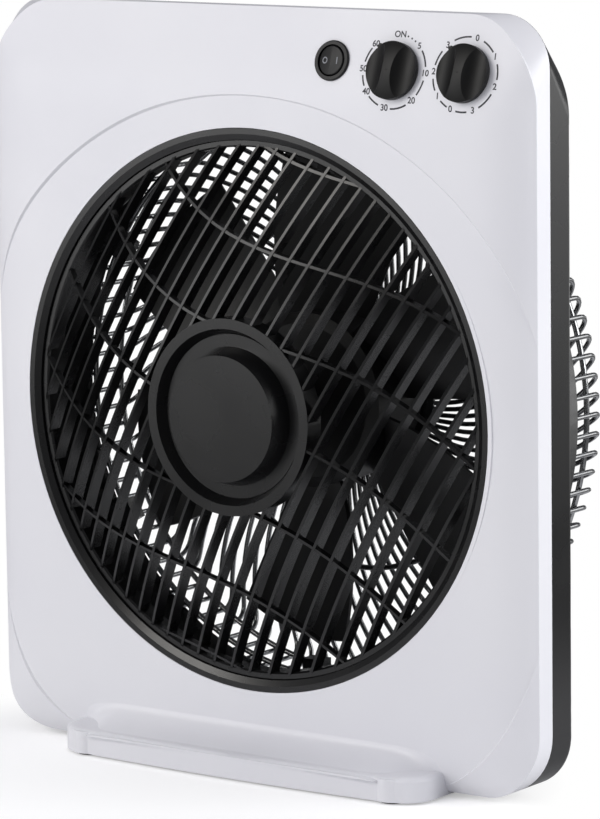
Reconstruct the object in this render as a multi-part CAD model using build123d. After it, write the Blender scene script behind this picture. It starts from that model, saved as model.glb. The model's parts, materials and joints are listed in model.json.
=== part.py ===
from build123d import *
import math
import os

os.makedirs("parts", exist_ok=True)

# Box fan with a turning louvre grille, standing on a table.
# While it is being built, the middle of the round opening is at X = 0, Z = 0 and depth Y = 0 is
# the front edge of the white shell.  X is to the right, Y to the back, Z up.  Each part is moved
# onto the table (Z = 0) and centred in depth when it is written out.

# ------------------------------------------------------------------ overall sizes
body_width = 372.0          # side to side
half_width = body_width / 2
shell_top = 225.5           # top edge above the middle of the opening
shell_bottom = -201.5       # underside of the two shells
pad_stand = 3.0             # the rubber feet reach this far below the shells
table_level = shell_bottom - pad_stand  # underside of the rubber feet
wall = 2.6                  # moulded wall of both shells
fit_gap = 0.3               # gap between parts that are pushed together
running_gap = 0.05          # radial clearance of a shaft that turns in its hole
weld_gap = 0.05             # gap left between wires that are welded together

# ------------------------------------------------------------------ front shell sizes
seam_depth = 12.9           # where the white shell ends
face_corner_top = 48.0      # corner radius of the front edge, above
seam_corner_top = 29.0      # corner radius at the seam, above
shell_corner_bottom = 36.0  # corner radius below
crown_height = 8.0          # the middle of the front face in front of its edges
console_crown = 9.4         # the same for the raised band above the opening
crown_power = 16            # how tightly the crown rolls off to the edges
console_tilt = 14.5         # the control area leans back
console_drop = 11.6         # this far below the top, the control area is level with the front edge
console_zero = shell_top - console_drop
console_blend = 8.0         # half width of the bend into the control area
step_centre = -35.0         # height of the centre of the arc that bounds the raised band
step_radius = 212.5         # radius of that arc
opening_radius = 159.0
opening_plane = -8.0        # depth of the rim of the opening
lip_wall = 2.4
lip_end = 2.0               # how far back the lip of the opening runs

# ------------------------------------------------------------------ foot of the front shell
foot_side_gap = 60.0        # from the side of the shell to the end of the foot
foot_half_width = half_width - foot_side_gap
foot_reach = 36.0           # in front of the shell's edge
foot_bow = 4.8              # the front of the foot is this much curved
foot_corner = 18.0
foot_back = 6.0             # the foot ends under the shell at this depth
foot_drop = 1.8             # the foot reaches this far below the shell
foot_underside = shell_bottom - foot_drop
foot_height = 13.8
foot_edge_round = 3.0
cove_rise = 14.0            # the hollow curve above the foot runs this far up the face
cove_reach = 23.5           # and this far forward over the foot
cove_power = 3              # how tightly it curves
cove_overlap = 0.15         # the cove's upper edge runs this deep into the face
cove_side_gap = 2.0         # the cove ends this much before the foot does
cove_half_width = foot_half_width - cove_side_gap
cove_fade = 34.0            # the cove runs out over this length at each end

# ------------------------------------------------------------------ rear shell sizes
seam_gap = 0.3
rim_depth = 34.5            # flat back wall
rim_drop = 4.5              # the back rim is this much lower than the top edge
rim_top = shell_top - rim_drop
rim_rise = 2.5              # and this much higher than the bottom edge
rim_bottom = shell_bottom + rim_rise
rim_corner_top = 57.0
rim_corner_bottom = 29.0
rim_edge_round = 4.0
tongue_length = 3.0         # rim of the rear shell that slips into the front shell
tongue_wall = 2.0
tongue_corner_top = 34.0
collar_base_radius = 181.5
collar_radius = 171.5
collar_wall = 2.9
collar_inner_radius = collar_radius - collar_wall
collar_depth = 62.0
rear_foot_side_gap = 76.0
rear_foot_half_width = half_width - rear_foot_side_gap
rear_foot_back = 78.0
rear_foot_corner = 14.0

# ------------------------------------------------------------------ louvre sizes
bezel_radius = opening_radius - fit_gap
bezel_width = 6.6
bezel_bore = bezel_radius - bezel_width
bezel_flange_width = 11.3
bezel_flange_radius = bezel_radius + bezel_flange_width
bezel_flange_front = lip_end + fit_gap
bezel_flange_wall = 2.5
bezel_flange_back = bezel_flange_front + bezel_flange_wall
bezel_slope_width = 3.4
bezel_front_land = bezel_bore + bezel_slope_width  # the front of the bezel slopes inwards from here
louvre_gap = 0.5            # between the louvre and the bezel
louvre_radius = bezel_bore - louvre_gap
louvre_rim_wall = 3.7
louvre_bore = louvre_radius - louvre_rim_wall
louvre_setback = 3.5        # the rim lies this much behind the front of the bezel
louvre_front = opening_plane + louvre_setback
louvre_flange_width = 5.4
louvre_flange_radius = louvre_radius + louvre_flange_width
louvre_flange_front = bezel_flange_back + louvre_gap
louvre_flange_wall = 2.3
louvre_back = louvre_flange_front + louvre_flange_wall
dome_apex = -33.2           # depth of the middle of the dome of slats
dome_rise = 27.1
dome_edge_gap = 1.9
dome_edge_radius = louvre_bore - dome_edge_gap
slat_pitch = 11.6
slat_edge_gap = 8.0         # the outermost slats keep at least this far from the rim
slat_count = 2 * int((louvre_bore - slat_edge_gap) / slat_pitch) + 1
slat_thickness = 1.6
slat_depth = 8.5
slat_angle = 60.0           # from horizontal
rib_pitch = 50.0
rib_count = 2 * int(louvre_radius / rib_pitch) + 1
rib_sway = 16.5             # half height of the wave of a rib
rib_wave = 320.0            # length of one full wave
rib_depth = 4.5
rib_setback = 0.4           # the ribs lie this much behind the front edges of the slats
cap_radius = 46.0
cap_cone_width = 7.0        # from the foot of the cone to the edge of the cap
cap_cone_radius = cap_radius - cap_cone_width
cap_face_radius = 35.4
cap_height = 12.0
cap_foot_thickness = 2.2
cap_wall = 2.2
hub_ring_ledge = 3.5        # how far the cap's edge reaches under the ring
hub_ring_bore = cap_radius + hub_ring_ledge
hub_ring_wall = 5.8
hub_ring_radius = hub_ring_bore + hub_ring_wall
hub_ring_setback = 3.3      # the ring lies this much behind the middle of the dome
hub_ring_front = dome_apex + hub_ring_setback
hub_ring_depth = 12.4
hub_ring_back = hub_ring_front + hub_ring_depth
cap_foot_setback = 5.9      # the cap's edge lies this much behind the front of the ring
cap_foot_front = hub_ring_front + cap_foot_setback
cap_front = cap_foot_front - cap_height
glide_count = 4
glide_angle = 20.0
glide_width = 14.0
glide_reach = 4.0           # the tongues reach this far over the flange
glide_tongue_radius = louvre_flange_radius - glide_reach
glide_thickness = 2.0
bezel_screw_edge = 5.0
bezel_screw_circle = bezel_flange_radius - bezel_screw_edge

# ------------------------------------------------------------------ louvre drive sizes
drive_angle = 135.0
roller_radius = 22.0
roller_margin = 0.1         # the roller is this much wider than the flange, in front
roller_front = louvre_flange_front - roller_margin
roller_width = 2.6
spindle_radius = 2.0
drive_motor_radius = 24.0
drive_motor_gap = 3.4
drive_motor_front = louvre_back + drive_motor_gap
drive_motor_length = 16.0
drive_ear_spread = 29.0
drive_ear_thickness = 1.2
drive_post_radius = 4.0

# ------------------------------------------------------------------ control sizes
timer_place = (half_width - 87.7, console_zero - 20.2)
speed_place = (half_width - 41.7, console_zero - 20.0)
rocker_place = (half_width - 129.5, console_zero - 16.1)
console_pad_middle = (half_width - 82.0, -18.0)
console_pad_size = (126.0, 46.0)
console_pad_wall = 0.7      # the seat starts this far behind the surface
console_pad_depth = 3.8     # from the surface of the control area to the flat seat behind it
knob_radius = 15.9
knob_height = 7.4           # at the middle of the grip bar
knob_rim_height = 3.9
knob_lift = 0.9
knob_grip_half_width = 2.8  # at the top of the grip bar
knob_grip_turn = -5.0       # the grip bars stand this much off upright
knob_scoop_radius = 12.0    # hollow curve of the sides of the grip bar
knob_scoop_floor = 3.0      # lowest place of the scoops
knob_pointer_angle = 130.0
knob_pointer_reach = 17.2
knob_pointer_width = 3.0
knob_pointer_height = 3.0
knob_socket_depth = 5.0
shaft_radius = 3.0
shaft_flat = 2.2
control_hole_radius = 4.6
timer_case_size = 42.0
timer_case_depth = 22.0
speed_case_size = 32.0
speed_case_depth = 20.0
control_screw_offset = 11.0
control_screw_recess = 1.8  # the screw heads are sunk this much under the knobs
case_rise = 7.0             # the cases sit this much higher than their shafts
rocker_flange_height = 1.4
rocker_lift = 0.12          # keeps the flange clear of the shell's slightly crowned face
rocker_body_radius = 10.0
rocker_flange_width = 1.25
rocker_flange_radius = rocker_body_radius + rocker_flange_width
rocker_body_depth = 18.0
rocker_body_wall = 1.1
rocker_bore_radius = rocker_body_radius - rocker_body_wall
rocker_ball_radius = rocker_bore_radius - fit_gap
rocker_pivot = -1.6
rocker_swing = 10.0
rocker_pin_radius = 1.0

# ------------------------------------------------------------------ guard sizes
wire_count = 96
wire_radius = 1.4
guard_radius = collar_inner_radius - wire_radius - fit_gap  # wire centres along the side
guard_side_length = 24.0    # the wires run straight this far behind the collar
guard_bend_start = collar_depth + guard_side_length
guard_bend_reach = 9.0      # the bend takes this much of the way inwards
guard_bend_rise = 9.7       # and this much of the depth
guard_rim_lean = 36.5       # the wires leave the bend at this angle from straight inwards
guard_swirl = 30.0          # the wires turn through this angle on their way inwards
lug_setback = 5.0           # the lugs end this far inside the collar
lug_back = collar_depth - lug_setback
lug_length = 10.0
lug_front = lug_back - lug_length
lug_reach = 18.1            # how far the lugs stand inwards from the collar
lug_inner_radius = collar_inner_radius - lug_reach
guard_lug_gap = 0.7
guard_front = lug_back + guard_lug_gap
plate_setback = 13.7        # the plate lies this far behind the start of the bend
plate_front = guard_bend_start + plate_setback
plate_thickness = 1.5
plate_wire_gap = 0.35
guard_inner_depth = plate_front + plate_thickness + plate_wire_gap + wire_radius
stator_radius = 41.0
bracket_wall_side = 3.0
bracket_radius = stator_radius + bracket_wall_side
plate_margin = 6.0          # the plate is this much larger than the motor
plate_radius = bracket_radius + plate_margin
guard_plate_overlap = 4.0   # the wires end this far inside the edge of the plate
guard_inner_radius = plate_radius - guard_plate_overlap
ring_wire_radius = 1.6
front_ring_lift = 2.6       # from the lugs to the first ring
back_ring_setback = 3.0     # from the second ring to the start of the bend
outer_ring_depths = (lug_back + front_ring_lift, guard_bend_start - back_ring_setback)
inner_ring_radius = 105.0
inner_ring_lift = 6.0       # the third ring lies this much in front of the ends of the wires
inner_ring_depth = guard_inner_depth - inner_ring_lift
tab_count = 6
tab_angle = 30.0
tab_width = 11.0
tab_thickness = 0.85
tab_margin = 1.1            # the tabs end this much outside the lugs
tab_inner_radius = lug_inner_radius + tab_margin
tab_screw_edge = 5.4
tab_screw_circle = tab_inner_radius + tab_screw_edge
lug_width = 13.0

# ------------------------------------------------------------------ impeller and motor sizes
# Depths run forward from the guard's plate, which carries the motor.
rear_bearing_setback = 10.2
rear_bearing_front = plate_front - rear_bearing_setback
motor_shaft_end_gap = 2.7
motor_shaft_back = plate_front - motor_shaft_end_gap
stator_setback = 17.9
stator_back = plate_front - stator_setback
stator_length = 19.6
stator_front = stator_back - stator_length
bracket_split = (stator_front + stator_back) / 2
rotor_overhang = 1.2        # the rotor is longer than the stator by this much at each end
rotor_front = stator_front - rotor_overhang
rotor_back = stator_back + rotor_overhang
bracket_nose = 12.2         # from the front of the bracket to the stator
front_bracket_front = stator_front - bracket_nose
bearing_setback = 3.0
front_bearing_front = front_bracket_front + bearing_setback
hub_floor_gap = 8.5         # the impeller's hub is a cup over the motor; its front is this far off
hub_front = front_bracket_front - hub_floor_gap
hub_length = 36.0
hub_back = hub_front + hub_length
hub_boss_gap = 1.5          # between the boss in the cup and the motor
hub_boss_back = front_bracket_front - hub_boss_gap
blade_setback = 15.5        # from the middle of the blades to the back of the hub
blade_middle = hub_back - blade_setback
motor_shaft_reach = 5.0     # in front of the hub
motor_shaft_front = hub_front - motor_shaft_reach
nut_length = 8.0
nut_front = hub_front - nut_length
blade_count = 6
blade_phase = 24.3
blade_tip_radius = 140.5
blade_thickness = 2.0
blade_root_span = 52.0      # angle the blade covers at the hub and at the tip
blade_tip_span = 34.0
blade_root_depth = 24.0     # how far the blade reaches in depth at the hub and at the tip
blade_tip_depth = 16.0
blade_sweep = 7.5           # the tip trails the root by this angle
hub_wall = 2.4
hub_motor_gap = 3.6         # between the motor and the inside of the cup
hub_radius = bracket_radius + hub_motor_gap + hub_wall
hub_boss_radius = 10.0
motor_shaft_radius = 4.0
nut_radius = 9.0
rotor_radius = 22.0
air_gap = 0.5               # between the rotor and the stator
stator_bore = rotor_radius + air_gap
bracket_wall = 2.5
bracket_gap = 0.3
bearing_radius = 9.0
bearing_length = 6.0
tie_screw_edge = 4.0        # from the middle of a tie screw to the edge of the stator
tie_screw_circle = stator_radius - tie_screw_edge
tie_screw_radius = 1.8
mount_screw_edge = 10.0
mount_screw_circle = bracket_radius - mount_screw_edge
coil_bore_gap = 2.5
coil_inner_radius = stator_bore + coil_bore_gap
coil_outer_radius = 32.4
coil_height = 5.0

# ------------------------------------------------------------------ screws, feet and small parts
screw_radius = 1.5
screw_head_radius = 3.2
screw_head_height = 2.2
boss_radius = 4.5
housing_screw_side = half_width - 12.0
housing_screw_height = 140.0
housing_screw_bottom = shell_bottom + 11.0
housing_screw_top = shell_top - 14.5
housing_boss_joint = seam_depth + 5.1
front_pad_place = (foot_half_width - 20.0, -foot_reach + 12.0)
rear_pad_place = (rear_foot_half_width - 20.0, rear_foot_back - 14.0)
pad_radius = 8.0
pad_thickness = 3.2
capacitor_place = (half_width - 36.0, shell_bottom + 36.5)
capacitor_size = (37.0, 14.0, 25.0)
gland_place = (-half_width + 36.0, shell_bottom + 33.5)
gland_radius = 7.0
gland_bore = 3.6

back_most = guard_inner_depth + wire_radius
depth_middle = (back_most - foot_reach) / 2


# ------------------------------------------------------------------ helpers
def slab(outline, front, back):
    """Solid with the given front view between two depths."""
    return extrude(Plane.XZ.offset(-back) * outline, amount=back - front)


def disc(radius, front, back, x=0.0, z=0.0):
    """Round solid along Y."""
    return slab(Pos(x, z) * Circle(radius), front, back)


def ring(outer, inner, front, back):
    """Plain ring round the fan axis."""
    return slab(Circle(outer) - Circle(inner), front, back)


def block(width, height, front, back, x=0.0, z=0.0):
    """Rectangular solid between two depths."""
    return slab(Pos(x, z) * Rectangle(width, height), front, back)


def turned(*corners):
    """Solid of revolution round the fan axis from (radius, depth) corners."""
    return revolve(make_face(Polyline(*corners, close=True)), axis=Axis.Y)


def swung(shape, angle):
    """Shape turned round the fan axis, anticlockwise as seen from the front."""
    return Rot(0, -angle, 0) * shape


def around(shape, count, start=0.0):
    """Copies of a shape spaced evenly round the fan axis."""
    return [swung(shape, start + 360.0 * step / count) for step in range(count)]


def polar(radius, angle):
    """X and Z of a point at a radius and an angle round the fan axis."""
    return radius * math.cos(math.radians(angle)), radius * math.sin(math.radians(angle))


def screw(head_front, tip, x=0.0, z=0.0, radius=screw_radius, head=screw_head_radius):
    """Pan head screw along Y; the head is on the side away from the tip."""
    sign = 1.0 if tip > head_front else -1.0
    under_head = head_front + sign * screw_head_height
    shank = disc(radius, min(under_head, tip), max(under_head, tip), x, z)
    cap = disc(head, min(head_front, under_head), max(head_front, under_head), x, z)
    slot_floor = head_front + sign * screw_head_height / 2
    slot = block(head * 1.4, 0.8, min(head_front, slot_floor), max(head_front, slot_floor), x, z)
    return cap + shank - slot


def hole(radius, front, back, places):
    """Drill for holes along Y at several places."""
    tool = disc(radius, front, back, *places[0])
    for place in places[1:]:
        tool += disc(radius, front, back, *place)
    return tool


def write_part(name, shape):
    """Write one sub-part, standing on the table."""
    if isinstance(shape, list):
        shape = Compound(children=[Solid(piece.solid().wrapped) for piece in shape])
    export_step(Pos(0, -depth_middle, -table_level) * shape, f"parts/{name}.step")


# ------------------------------------------------------------------ outlines of the shells
def shell_outline(half, top, bottom, corner_top, corner_bottom):
    """Front view of a shell with its own corner radii above and below."""
    sheet = Pos(0, (top + bottom) / 2) * Rectangle(2 * half, top - bottom)
    sheet = fillet(sheet.vertices().group_by(Axis.Y)[-1], corner_top)
    return fillet(sheet.vertices().group_by(Axis.Y)[0], corner_bottom)


def front_outline(inset, corner_top):
    """Front view of the white shell, drawn inwards by an inset."""
    return shell_outline(half_width - inset, shell_top - inset, shell_bottom + inset,
                         corner_top - inset, shell_corner_bottom - inset)


def rim_outline(inset):
    """Front view of the back rim of the black shell, drawn inwards by an inset."""
    return shell_outline(half_width - inset, rim_top - inset, rim_bottom + inset,
                         rim_corner_top - inset, rim_corner_bottom - inset)


def crown_depth(x, z, height):
    """Depth of the crowned front face, which leans back to the control area above."""
    side = 1.0 - abs(x / half_width) ** crown_power
    if z < 0:
        return -height * side * (1.0 - abs(z / shell_bottom) ** crown_power)
    slope = math.tan(math.radians(console_tilt))
    past = z - (console_zero - height / slope)
    bend = min(max(past + console_blend, 0.0), 2 * console_blend) ** 2 / (4 * console_blend)
    return -side * (height - slope * (bend + max(past - console_blend, 0.0)))


def crown_cutter(height, shift):
    """Everything in front of the crowned face, moved back by a shift."""
    steps = 24
    rows = []
    for row in range(steps + 1):
        z = (shell_top + shell_bottom) / 2 + (shell_top - shell_bottom + 8) / 2 * spread(row, steps)
        rows.append([])
        for column in range(steps + 1):
            x = (half_width + 4) * spread(column, steps)
            rows[-1].append((x, crown_depth(x, z, height) + shift, z))
    face = Face.make_surface_from_array_of_points(rows, tol=0.02)
    return extrude(face, amount=60, dir=(0, -1, 0))


def spread(index, steps):
    """Runs from -1 to 1, closer together near both ends."""
    return math.sin(math.pi * (index / steps - 0.5))


def step_cone():
    """Space inside the arc where the face is lower than the raised band above it."""
    front = -30.0
    back = 5.0
    middle = -(console_crown + crown_height) / 2
    cone = turned((0, front), (step_radius + middle - front, front),
                  (step_radius + middle - back, back), (0, back))
    return Pos(0, 0, step_centre) * cone


# ------------------------------------------------------------------ front shell
def front_stock(inset):
    """Block with the sides of the white shell."""
    face = front_outline(inset, face_corner_top)
    seam = front_outline(inset, seam_corner_top)
    band = loft([Plane.XZ * face, Plane.XZ.offset(-seam_depth) * seam], ruled=True)
    return slab(face, -20, 0) + band


def foot_plan(inset):
    """Plan view of the foot of the front shell: bowed front, round corners."""
    side = foot_half_width - inset
    front = -foot_reach + inset
    bowed = ThreePointArc((-side, front + foot_bow), (0, front), (side, front + foot_bow))
    rest = Polyline((side, front + foot_bow), (side, foot_back), (-side, foot_back),
                    (-side, front + foot_bow))
    sheet = make_face([bowed, rest])
    return fillet(sheet.vertices().group_by(Axis.Y)[0], foot_corner - inset)


def cove_cutter(top):
    """Everything in front of the hollow curve between the foot's top and the face."""
    steps = 24
    climbs = 10
    rows = []
    for row in range(climbs + 1):
        climb = -0.25 + 1.35 * row / climbs
        z = top + cove_rise * climb
        rows.append([])
        for column in range(steps + 1):
            x = (cove_half_width + 2) * (2 * column / steps - 1)
            ends = min(max((cove_half_width - abs(x)) / cove_fade, 0.0), 1.0)
            ends = ends ** 2 * (3 - 2 * ends)
            reach = cove_reach * max(1 - climb, 0.0) ** cove_power * ends
            rows[-1].append((x, crown_depth(x, z, crown_height) - reach + cove_overlap, z))
    face = Face.make_surface_from_array_of_points(rows, tol=0.02)
    return extrude(face, amount=80, dir=(0, -1, 0))


def front_foot():
    """Foot in front of the white shell, hollow from below, with a cove up to the face."""
    top = foot_underside + foot_height
    outer = extrude(Pos(0, 0, foot_underside) * foot_plan(0), amount=foot_height)
    outer = fillet(outer.edges().group_by(Axis.Z)[-1], foot_edge_round)
    inner = extrude(Pos(0, 0, foot_underside - 1) * foot_plan(wall), amount=foot_height + 1 - wall)
    cove = Pos(0, 0, top - wall / 2 + cove_rise / 2) * Box(
        2 * cove_half_width, 2 * foot_reach, cove_rise + wall)
    cove &= slab(front_outline(0, seam_corner_top), -foot_reach, 0)
    cove -= cove_cutter(top)
    return outer, inner, cove


def console_plane():
    """Plane of the control area; its Z points out of the face."""
    lean = math.radians(console_tilt)
    origin = (0, 0, console_zero)
    return Plane(origin=origin, x_dir=(1, 0, 0), z_dir=(0, -math.cos(lean), math.sin(lean)))


def console_spot(place):
    """Plane on the control area at a place given by X and Z."""
    up = (place[1] - console_zero) / math.cos(math.radians(console_tilt))
    return console_plane() * Pos(place[0], up, 0)


def housing_screw_places():
    """X and Z of the six screws that hold the two shells together."""
    side = [(x, z) for x in (-housing_screw_side, housing_screw_side)
            for z in (-housing_screw_height, housing_screw_height)]
    return side + [(0, housing_screw_bottom), (0, housing_screw_top)]


def bezel_screw_places():
    """X and Z of the screws that hold the glides and the bezel."""
    return [polar(bezel_screw_circle, glide_angle + 360.0 * step / glide_count)
            for step in range(glide_count)]


def drive_centre():
    """X and Z of the louvre drive: the roller runs just off the louvre's flange."""
    return polar(louvre_flange_radius + roller_radius + fit_gap, drive_angle)


def drive_ear_places():
    """X and Z of the two screws of the louvre drive motor."""
    x, z = drive_centre()
    across = polar(drive_ear_spread, drive_angle - 90)
    return [(x + across[0], z + across[1]), (x - across[0], z - across[1])]


def front_housing():
    """White front shell with its opening, control area, foot and inner bosses."""
    outer = front_stock(0) - crown_cutter(console_crown, 0) - (crown_cutter(crown_height, 0) & step_cone())
    inner = front_stock(wall) + slab(front_outline(wall, seam_corner_top), seam_depth, seam_depth + 2)
    inner -= crown_cutter(crown_height, wall)
    foot_outer, foot_inner, cove = front_foot()
    inside = disc(boss_radius, -20, housing_boss_joint, *housing_screw_places()[0])
    for place in housing_screw_places()[1:]:
        inside += disc(boss_radius, -20, housing_boss_joint, *place)
    for place in bezel_screw_places():
        inside += disc(boss_radius, -20, bezel_flange_front, *place)
    for place in drive_ear_places():
        inside += disc(drive_post_radius, -20, drive_motor_front, *place)
    pad = console_plane() * Pos(*console_pad_middle, -console_pad_depth / 2 - console_pad_wall)
    inside += pad * Box(*console_pad_size, console_pad_depth - 2 * console_pad_wall)
    shell = outer - inner
    keep = outer + slab(front_outline(wall, seam_corner_top), seam_depth - 0.5, housing_boss_joint)
    shell += inside & keep
    shell += (cove - inner)
    shell += foot_outer
    shell -= foot_inner
    for side in (-1, 1):
        x = side * front_pad_place[0]
        shell += Pos(x, front_pad_place[1], foot_underside) * Cylinder(
            pad_radius + 2.0, foot_height - 1, align=(Align.CENTER, Align.CENTER, Align.MIN))
        shell -= Pos(x, front_pad_place[1], table_level) * Cylinder(
            pad_radius + fit_gap, pad_thickness, align=(Align.CENTER, Align.CENTER, Align.MIN))
    shell += ring(opening_radius + lip_wall, opening_radius, opening_plane, lip_end)
    shell -= disc(opening_radius, -40, 20)
    shell -= hole(screw_radius + 0.02, 6, housing_boss_joint + 1, housing_screw_places())
    shell -= hole(screw_radius + 0.02, -4, bezel_flange_front + 1, bezel_screw_places())
    shell -= hole(screw_radius + 0.02, 2, drive_motor_front + 1, drive_ear_places())
    for place in (timer_place, speed_place):
        shell -= console_spot(place) * Cylinder(control_hole_radius, 30)
        for side in (-1, 1):
            screw_spot = console_spot(place) * Pos(side * control_screw_offset, 0, 0)
            shell -= screw_spot * Cylinder(screw_radius + 0.1, 30)
            shell -= screw_spot * Pos(0, 0, -control_screw_recess) * Cylinder(
                screw_head_radius + fit_gap, 10, align=(Align.CENTER, Align.CENTER, Align.MIN))
    shell -= console_spot(rocker_place) * Cylinder(rocker_body_radius + fit_gap, 30)
    return shell


# ------------------------------------------------------------------ rear shell
def guard_lug_angles():
    """Angles of the lugs that hold the wire guard."""
    return [tab_angle + 360.0 * step / tab_count for step in range(tab_count)]


def rear_foot_plan(inset):
    """Plan view of the foot at the back."""
    side = rear_foot_half_width - inset
    front = rim_depth - 3.0
    back = rear_foot_back - inset
    sheet = Pos(0, (front + back) / 2) * Rectangle(2 * side, back - front)
    return fillet(sheet.vertices().group_by(Axis.Y)[-1], rear_foot_corner - inset)


def rear_housing():
    """Black rear shell with the round collar, the back foot, lugs and bosses."""
    seam = Plane.XZ.offset(-(seam_depth + seam_gap)) * front_outline(0, seam_corner_top)
    rim = Plane.XZ.offset(-rim_depth) * rim_outline(0)
    outer = loft([seam, rim], ruled=True)
    outer = fillet(outer.faces().sort_by(Axis.Y)[-1].edges(), rim_edge_round)
    seam_in = Plane.XZ.offset(-(seam_depth + seam_gap)) * front_outline(wall, seam_corner_top)
    rim_in = Plane.XZ.offset(-(rim_depth - wall)) * rim_outline(wall + 0.3)
    shell = outer - loft([seam_in, rim_in], ruled=True)
    tongue_front = seam_depth - tongue_length
    shelf_back = seam_depth + seam_gap + 2.0
    tongue_outline = front_outline(wall + fit_gap, tongue_corner_top)
    tongue_bore = front_outline(wall + fit_gap + tongue_wall, tongue_corner_top)
    shell += slab(tongue_outline - tongue_bore, tongue_front, shelf_back)
    shelf = front_outline(1.5, seam_corner_top) - tongue_bore
    shell += slab(shelf, seam_depth + seam_gap, shelf_back)
    cone = turned((0, 20), (collar_base_radius - 0.5, 20), (collar_base_radius, rim_depth),
                  (collar_radius, collar_depth), (0, collar_depth))
    cone_bore = turned((0, 0), (collar_base_radius - wall, 0), (collar_base_radius - wall, rim_depth - wall),
                       (collar_inner_radius, collar_depth), (collar_inner_radius, collar_depth + 5),
                       (0, collar_depth + 5))
    collar_front = rim_depth - wall
    collar = (cone & disc(collar_base_radius + 1, collar_front, collar_depth)) - cone_bore
    shell = shell - disc(collar_base_radius - wall, 25, rim_depth + 1) + collar
    for angle in guard_lug_angles():
        middle = (lug_inner_radius + collar_base_radius) / 2
        lug = block(collar_base_radius - lug_inner_radius, lug_width, lug_front, lug_back, middle, 0)
        shell += swung(lug, angle) & cone
    foot = extrude(Pos(0, 0, foot_underside) * rear_foot_plan(0), amount=foot_height)
    foot = fillet(foot.edges().group_by(Axis.Z)[-1].sort_by(Axis.Y)[1:], foot_edge_round)
    foot -= extrude(Pos(0, 0, foot_underside - 1) * rear_foot_plan(wall), amount=foot_height + 1 - wall)
    keep = slab(rim_outline(wall), 20, rim_depth - 0.5)
    shell += foot - keep
    for side in (-1, 1):
        pad = Pos(side * rear_pad_place[0], rear_pad_place[1], foot_underside)
        shell += pad * Cylinder(pad_radius + 2.0, foot_height - 1,
                                align=(Align.CENTER, Align.CENTER, Align.MIN))
        recess = Pos(side * rear_pad_place[0], rear_pad_place[1], table_level)
        shell -= recess * Cylinder(pad_radius + fit_gap, pad_thickness,
                                   align=(Align.CENTER, Align.CENTER, Align.MIN))
    for place in housing_screw_places():
        shell += disc(boss_radius, housing_boss_joint, rim_depth - 1, *place)
    shell -= hole(screw_radius + 0.1, housing_boss_joint - 1, rim_depth + 1, housing_screw_places())
    shell -= hole(screw_head_radius + fit_gap, housing_boss_joint + 6, rim_depth + 1, housing_screw_places())
    lug_screws = [polar(tab_screw_circle, angle) for angle in guard_lug_angles()]
    shell -= hole(screw_radius + 0.02, lug_back - 8, lug_back + 1, lug_screws)
    shell -= disc(gland_radius - 1.0, 25, rim_depth + 1, *gland_place)
    shell += capacitor_boss()
    shell -= disc(screw_radius + 0.02, rim_depth - wall - 6, rim_depth - 1.0, *capacitor_screw_place())
    return shell


def capacitor_screw_place():
    """X and Z of the screw through the capacitor's ear."""
    return capacitor_place[0], capacitor_place[1] + capacitor_size[2] / 2 + 4.5


def capacitor_boss():
    """Small post on the back wall for the capacitor's screw."""
    return disc(boss_radius - 0.5, rim_depth - wall - 5.5, rim_depth - 1, *capacitor_screw_place())


# ------------------------------------------------------------------ louvre
def dome_depth(radius, shift=0.0):
    """Depth of the dome of slats at a radius."""
    sphere = (dome_edge_radius ** 2 + dome_rise ** 2) / (2 * dome_rise)
    return dome_apex + sphere - math.sqrt(sphere ** 2 - radius ** 2) + shift


def dome_band(front_shift, back_shift):
    """Shell of the dome between the hub ring and the rim, between two shifts in depth."""
    inner = (hub_ring_bore + hub_ring_radius) / 2
    outer = (louvre_bore + louvre_radius) / 2
    middle = (inner + outer) / 2
    front = ThreePointArc(*[(radius, dome_depth(radius, front_shift)) for radius in (inner, middle, outer)])
    back = ThreePointArc(*[(radius, dome_depth(radius, back_shift)) for radius in (outer, middle, inner)])
    ends = [Line(front @ 1, back @ 0), Line(back @ 1, front @ 0)]
    return revolve(make_face([front, ends[0], back, ends[1]]), axis=Axis.Y)


def slat_walls():
    """Straight walls of all slats, before they are cut to the dome."""
    lines = Sketch()
    for step in range(slat_count):
        offset = (step - (slat_count - 1) / 2) * slat_pitch
        half = math.sqrt(louvre_radius ** 2 - offset ** 2)
        lines += Pos(0, offset) * Rectangle(2 * half, slat_thickness)
    return slab(Rot(0, 0, slat_angle) * lines, -50, 30)


def rib_walls():
    """Waved walls that tie the slats together, before they are cut to the dome."""
    lines = Sketch()
    for step in range(rib_count):
        middle = (step - (rib_count - 1) / 2) * rib_pitch
        left = []
        right = []
        for index in range(slat_count + 1):
            w = (index - slat_count / 2) * slat_pitch * 1.04
            u = middle - rib_sway * math.sin(2 * math.pi * w / rib_wave)
            left.append((u - slat_thickness / 2, w))
            right.append((u + slat_thickness / 2, w))
        lines += make_face(Polyline(*left, *reversed(right), close=True))
    return slab(Rot(0, 0, slat_angle) * lines, -50, 30)


def louvre_grille():
    """Domed grille: rim with a running flange, slats, ribs and hub ring."""
    rim = turned((louvre_bore, louvre_front + 1.0), (louvre_bore + 1.0, louvre_front),
                 (louvre_radius, louvre_front), (louvre_radius, louvre_flange_front),
                 (louvre_flange_radius, louvre_flange_front), (louvre_flange_radius, louvre_back),
                 (louvre_bore, louvre_back))
    ledge_front = cap_foot_front + cap_foot_thickness
    hub = turned((hub_ring_bore, hub_ring_front), (hub_ring_radius, hub_ring_front),
                 (hub_ring_radius, hub_ring_back), (cap_radius - 4, hub_ring_back),
                 (cap_radius - 4, ledge_front), (cap_radius + fit_gap, ledge_front),
                 (cap_radius + fit_gap, cap_foot_front))
    slats = slat_walls() & dome_band(0.0, slat_depth)
    ribs = rib_walls() & dome_band(rib_setback, rib_setback + rib_depth)
    return slats + ribs + rim + hub


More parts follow.
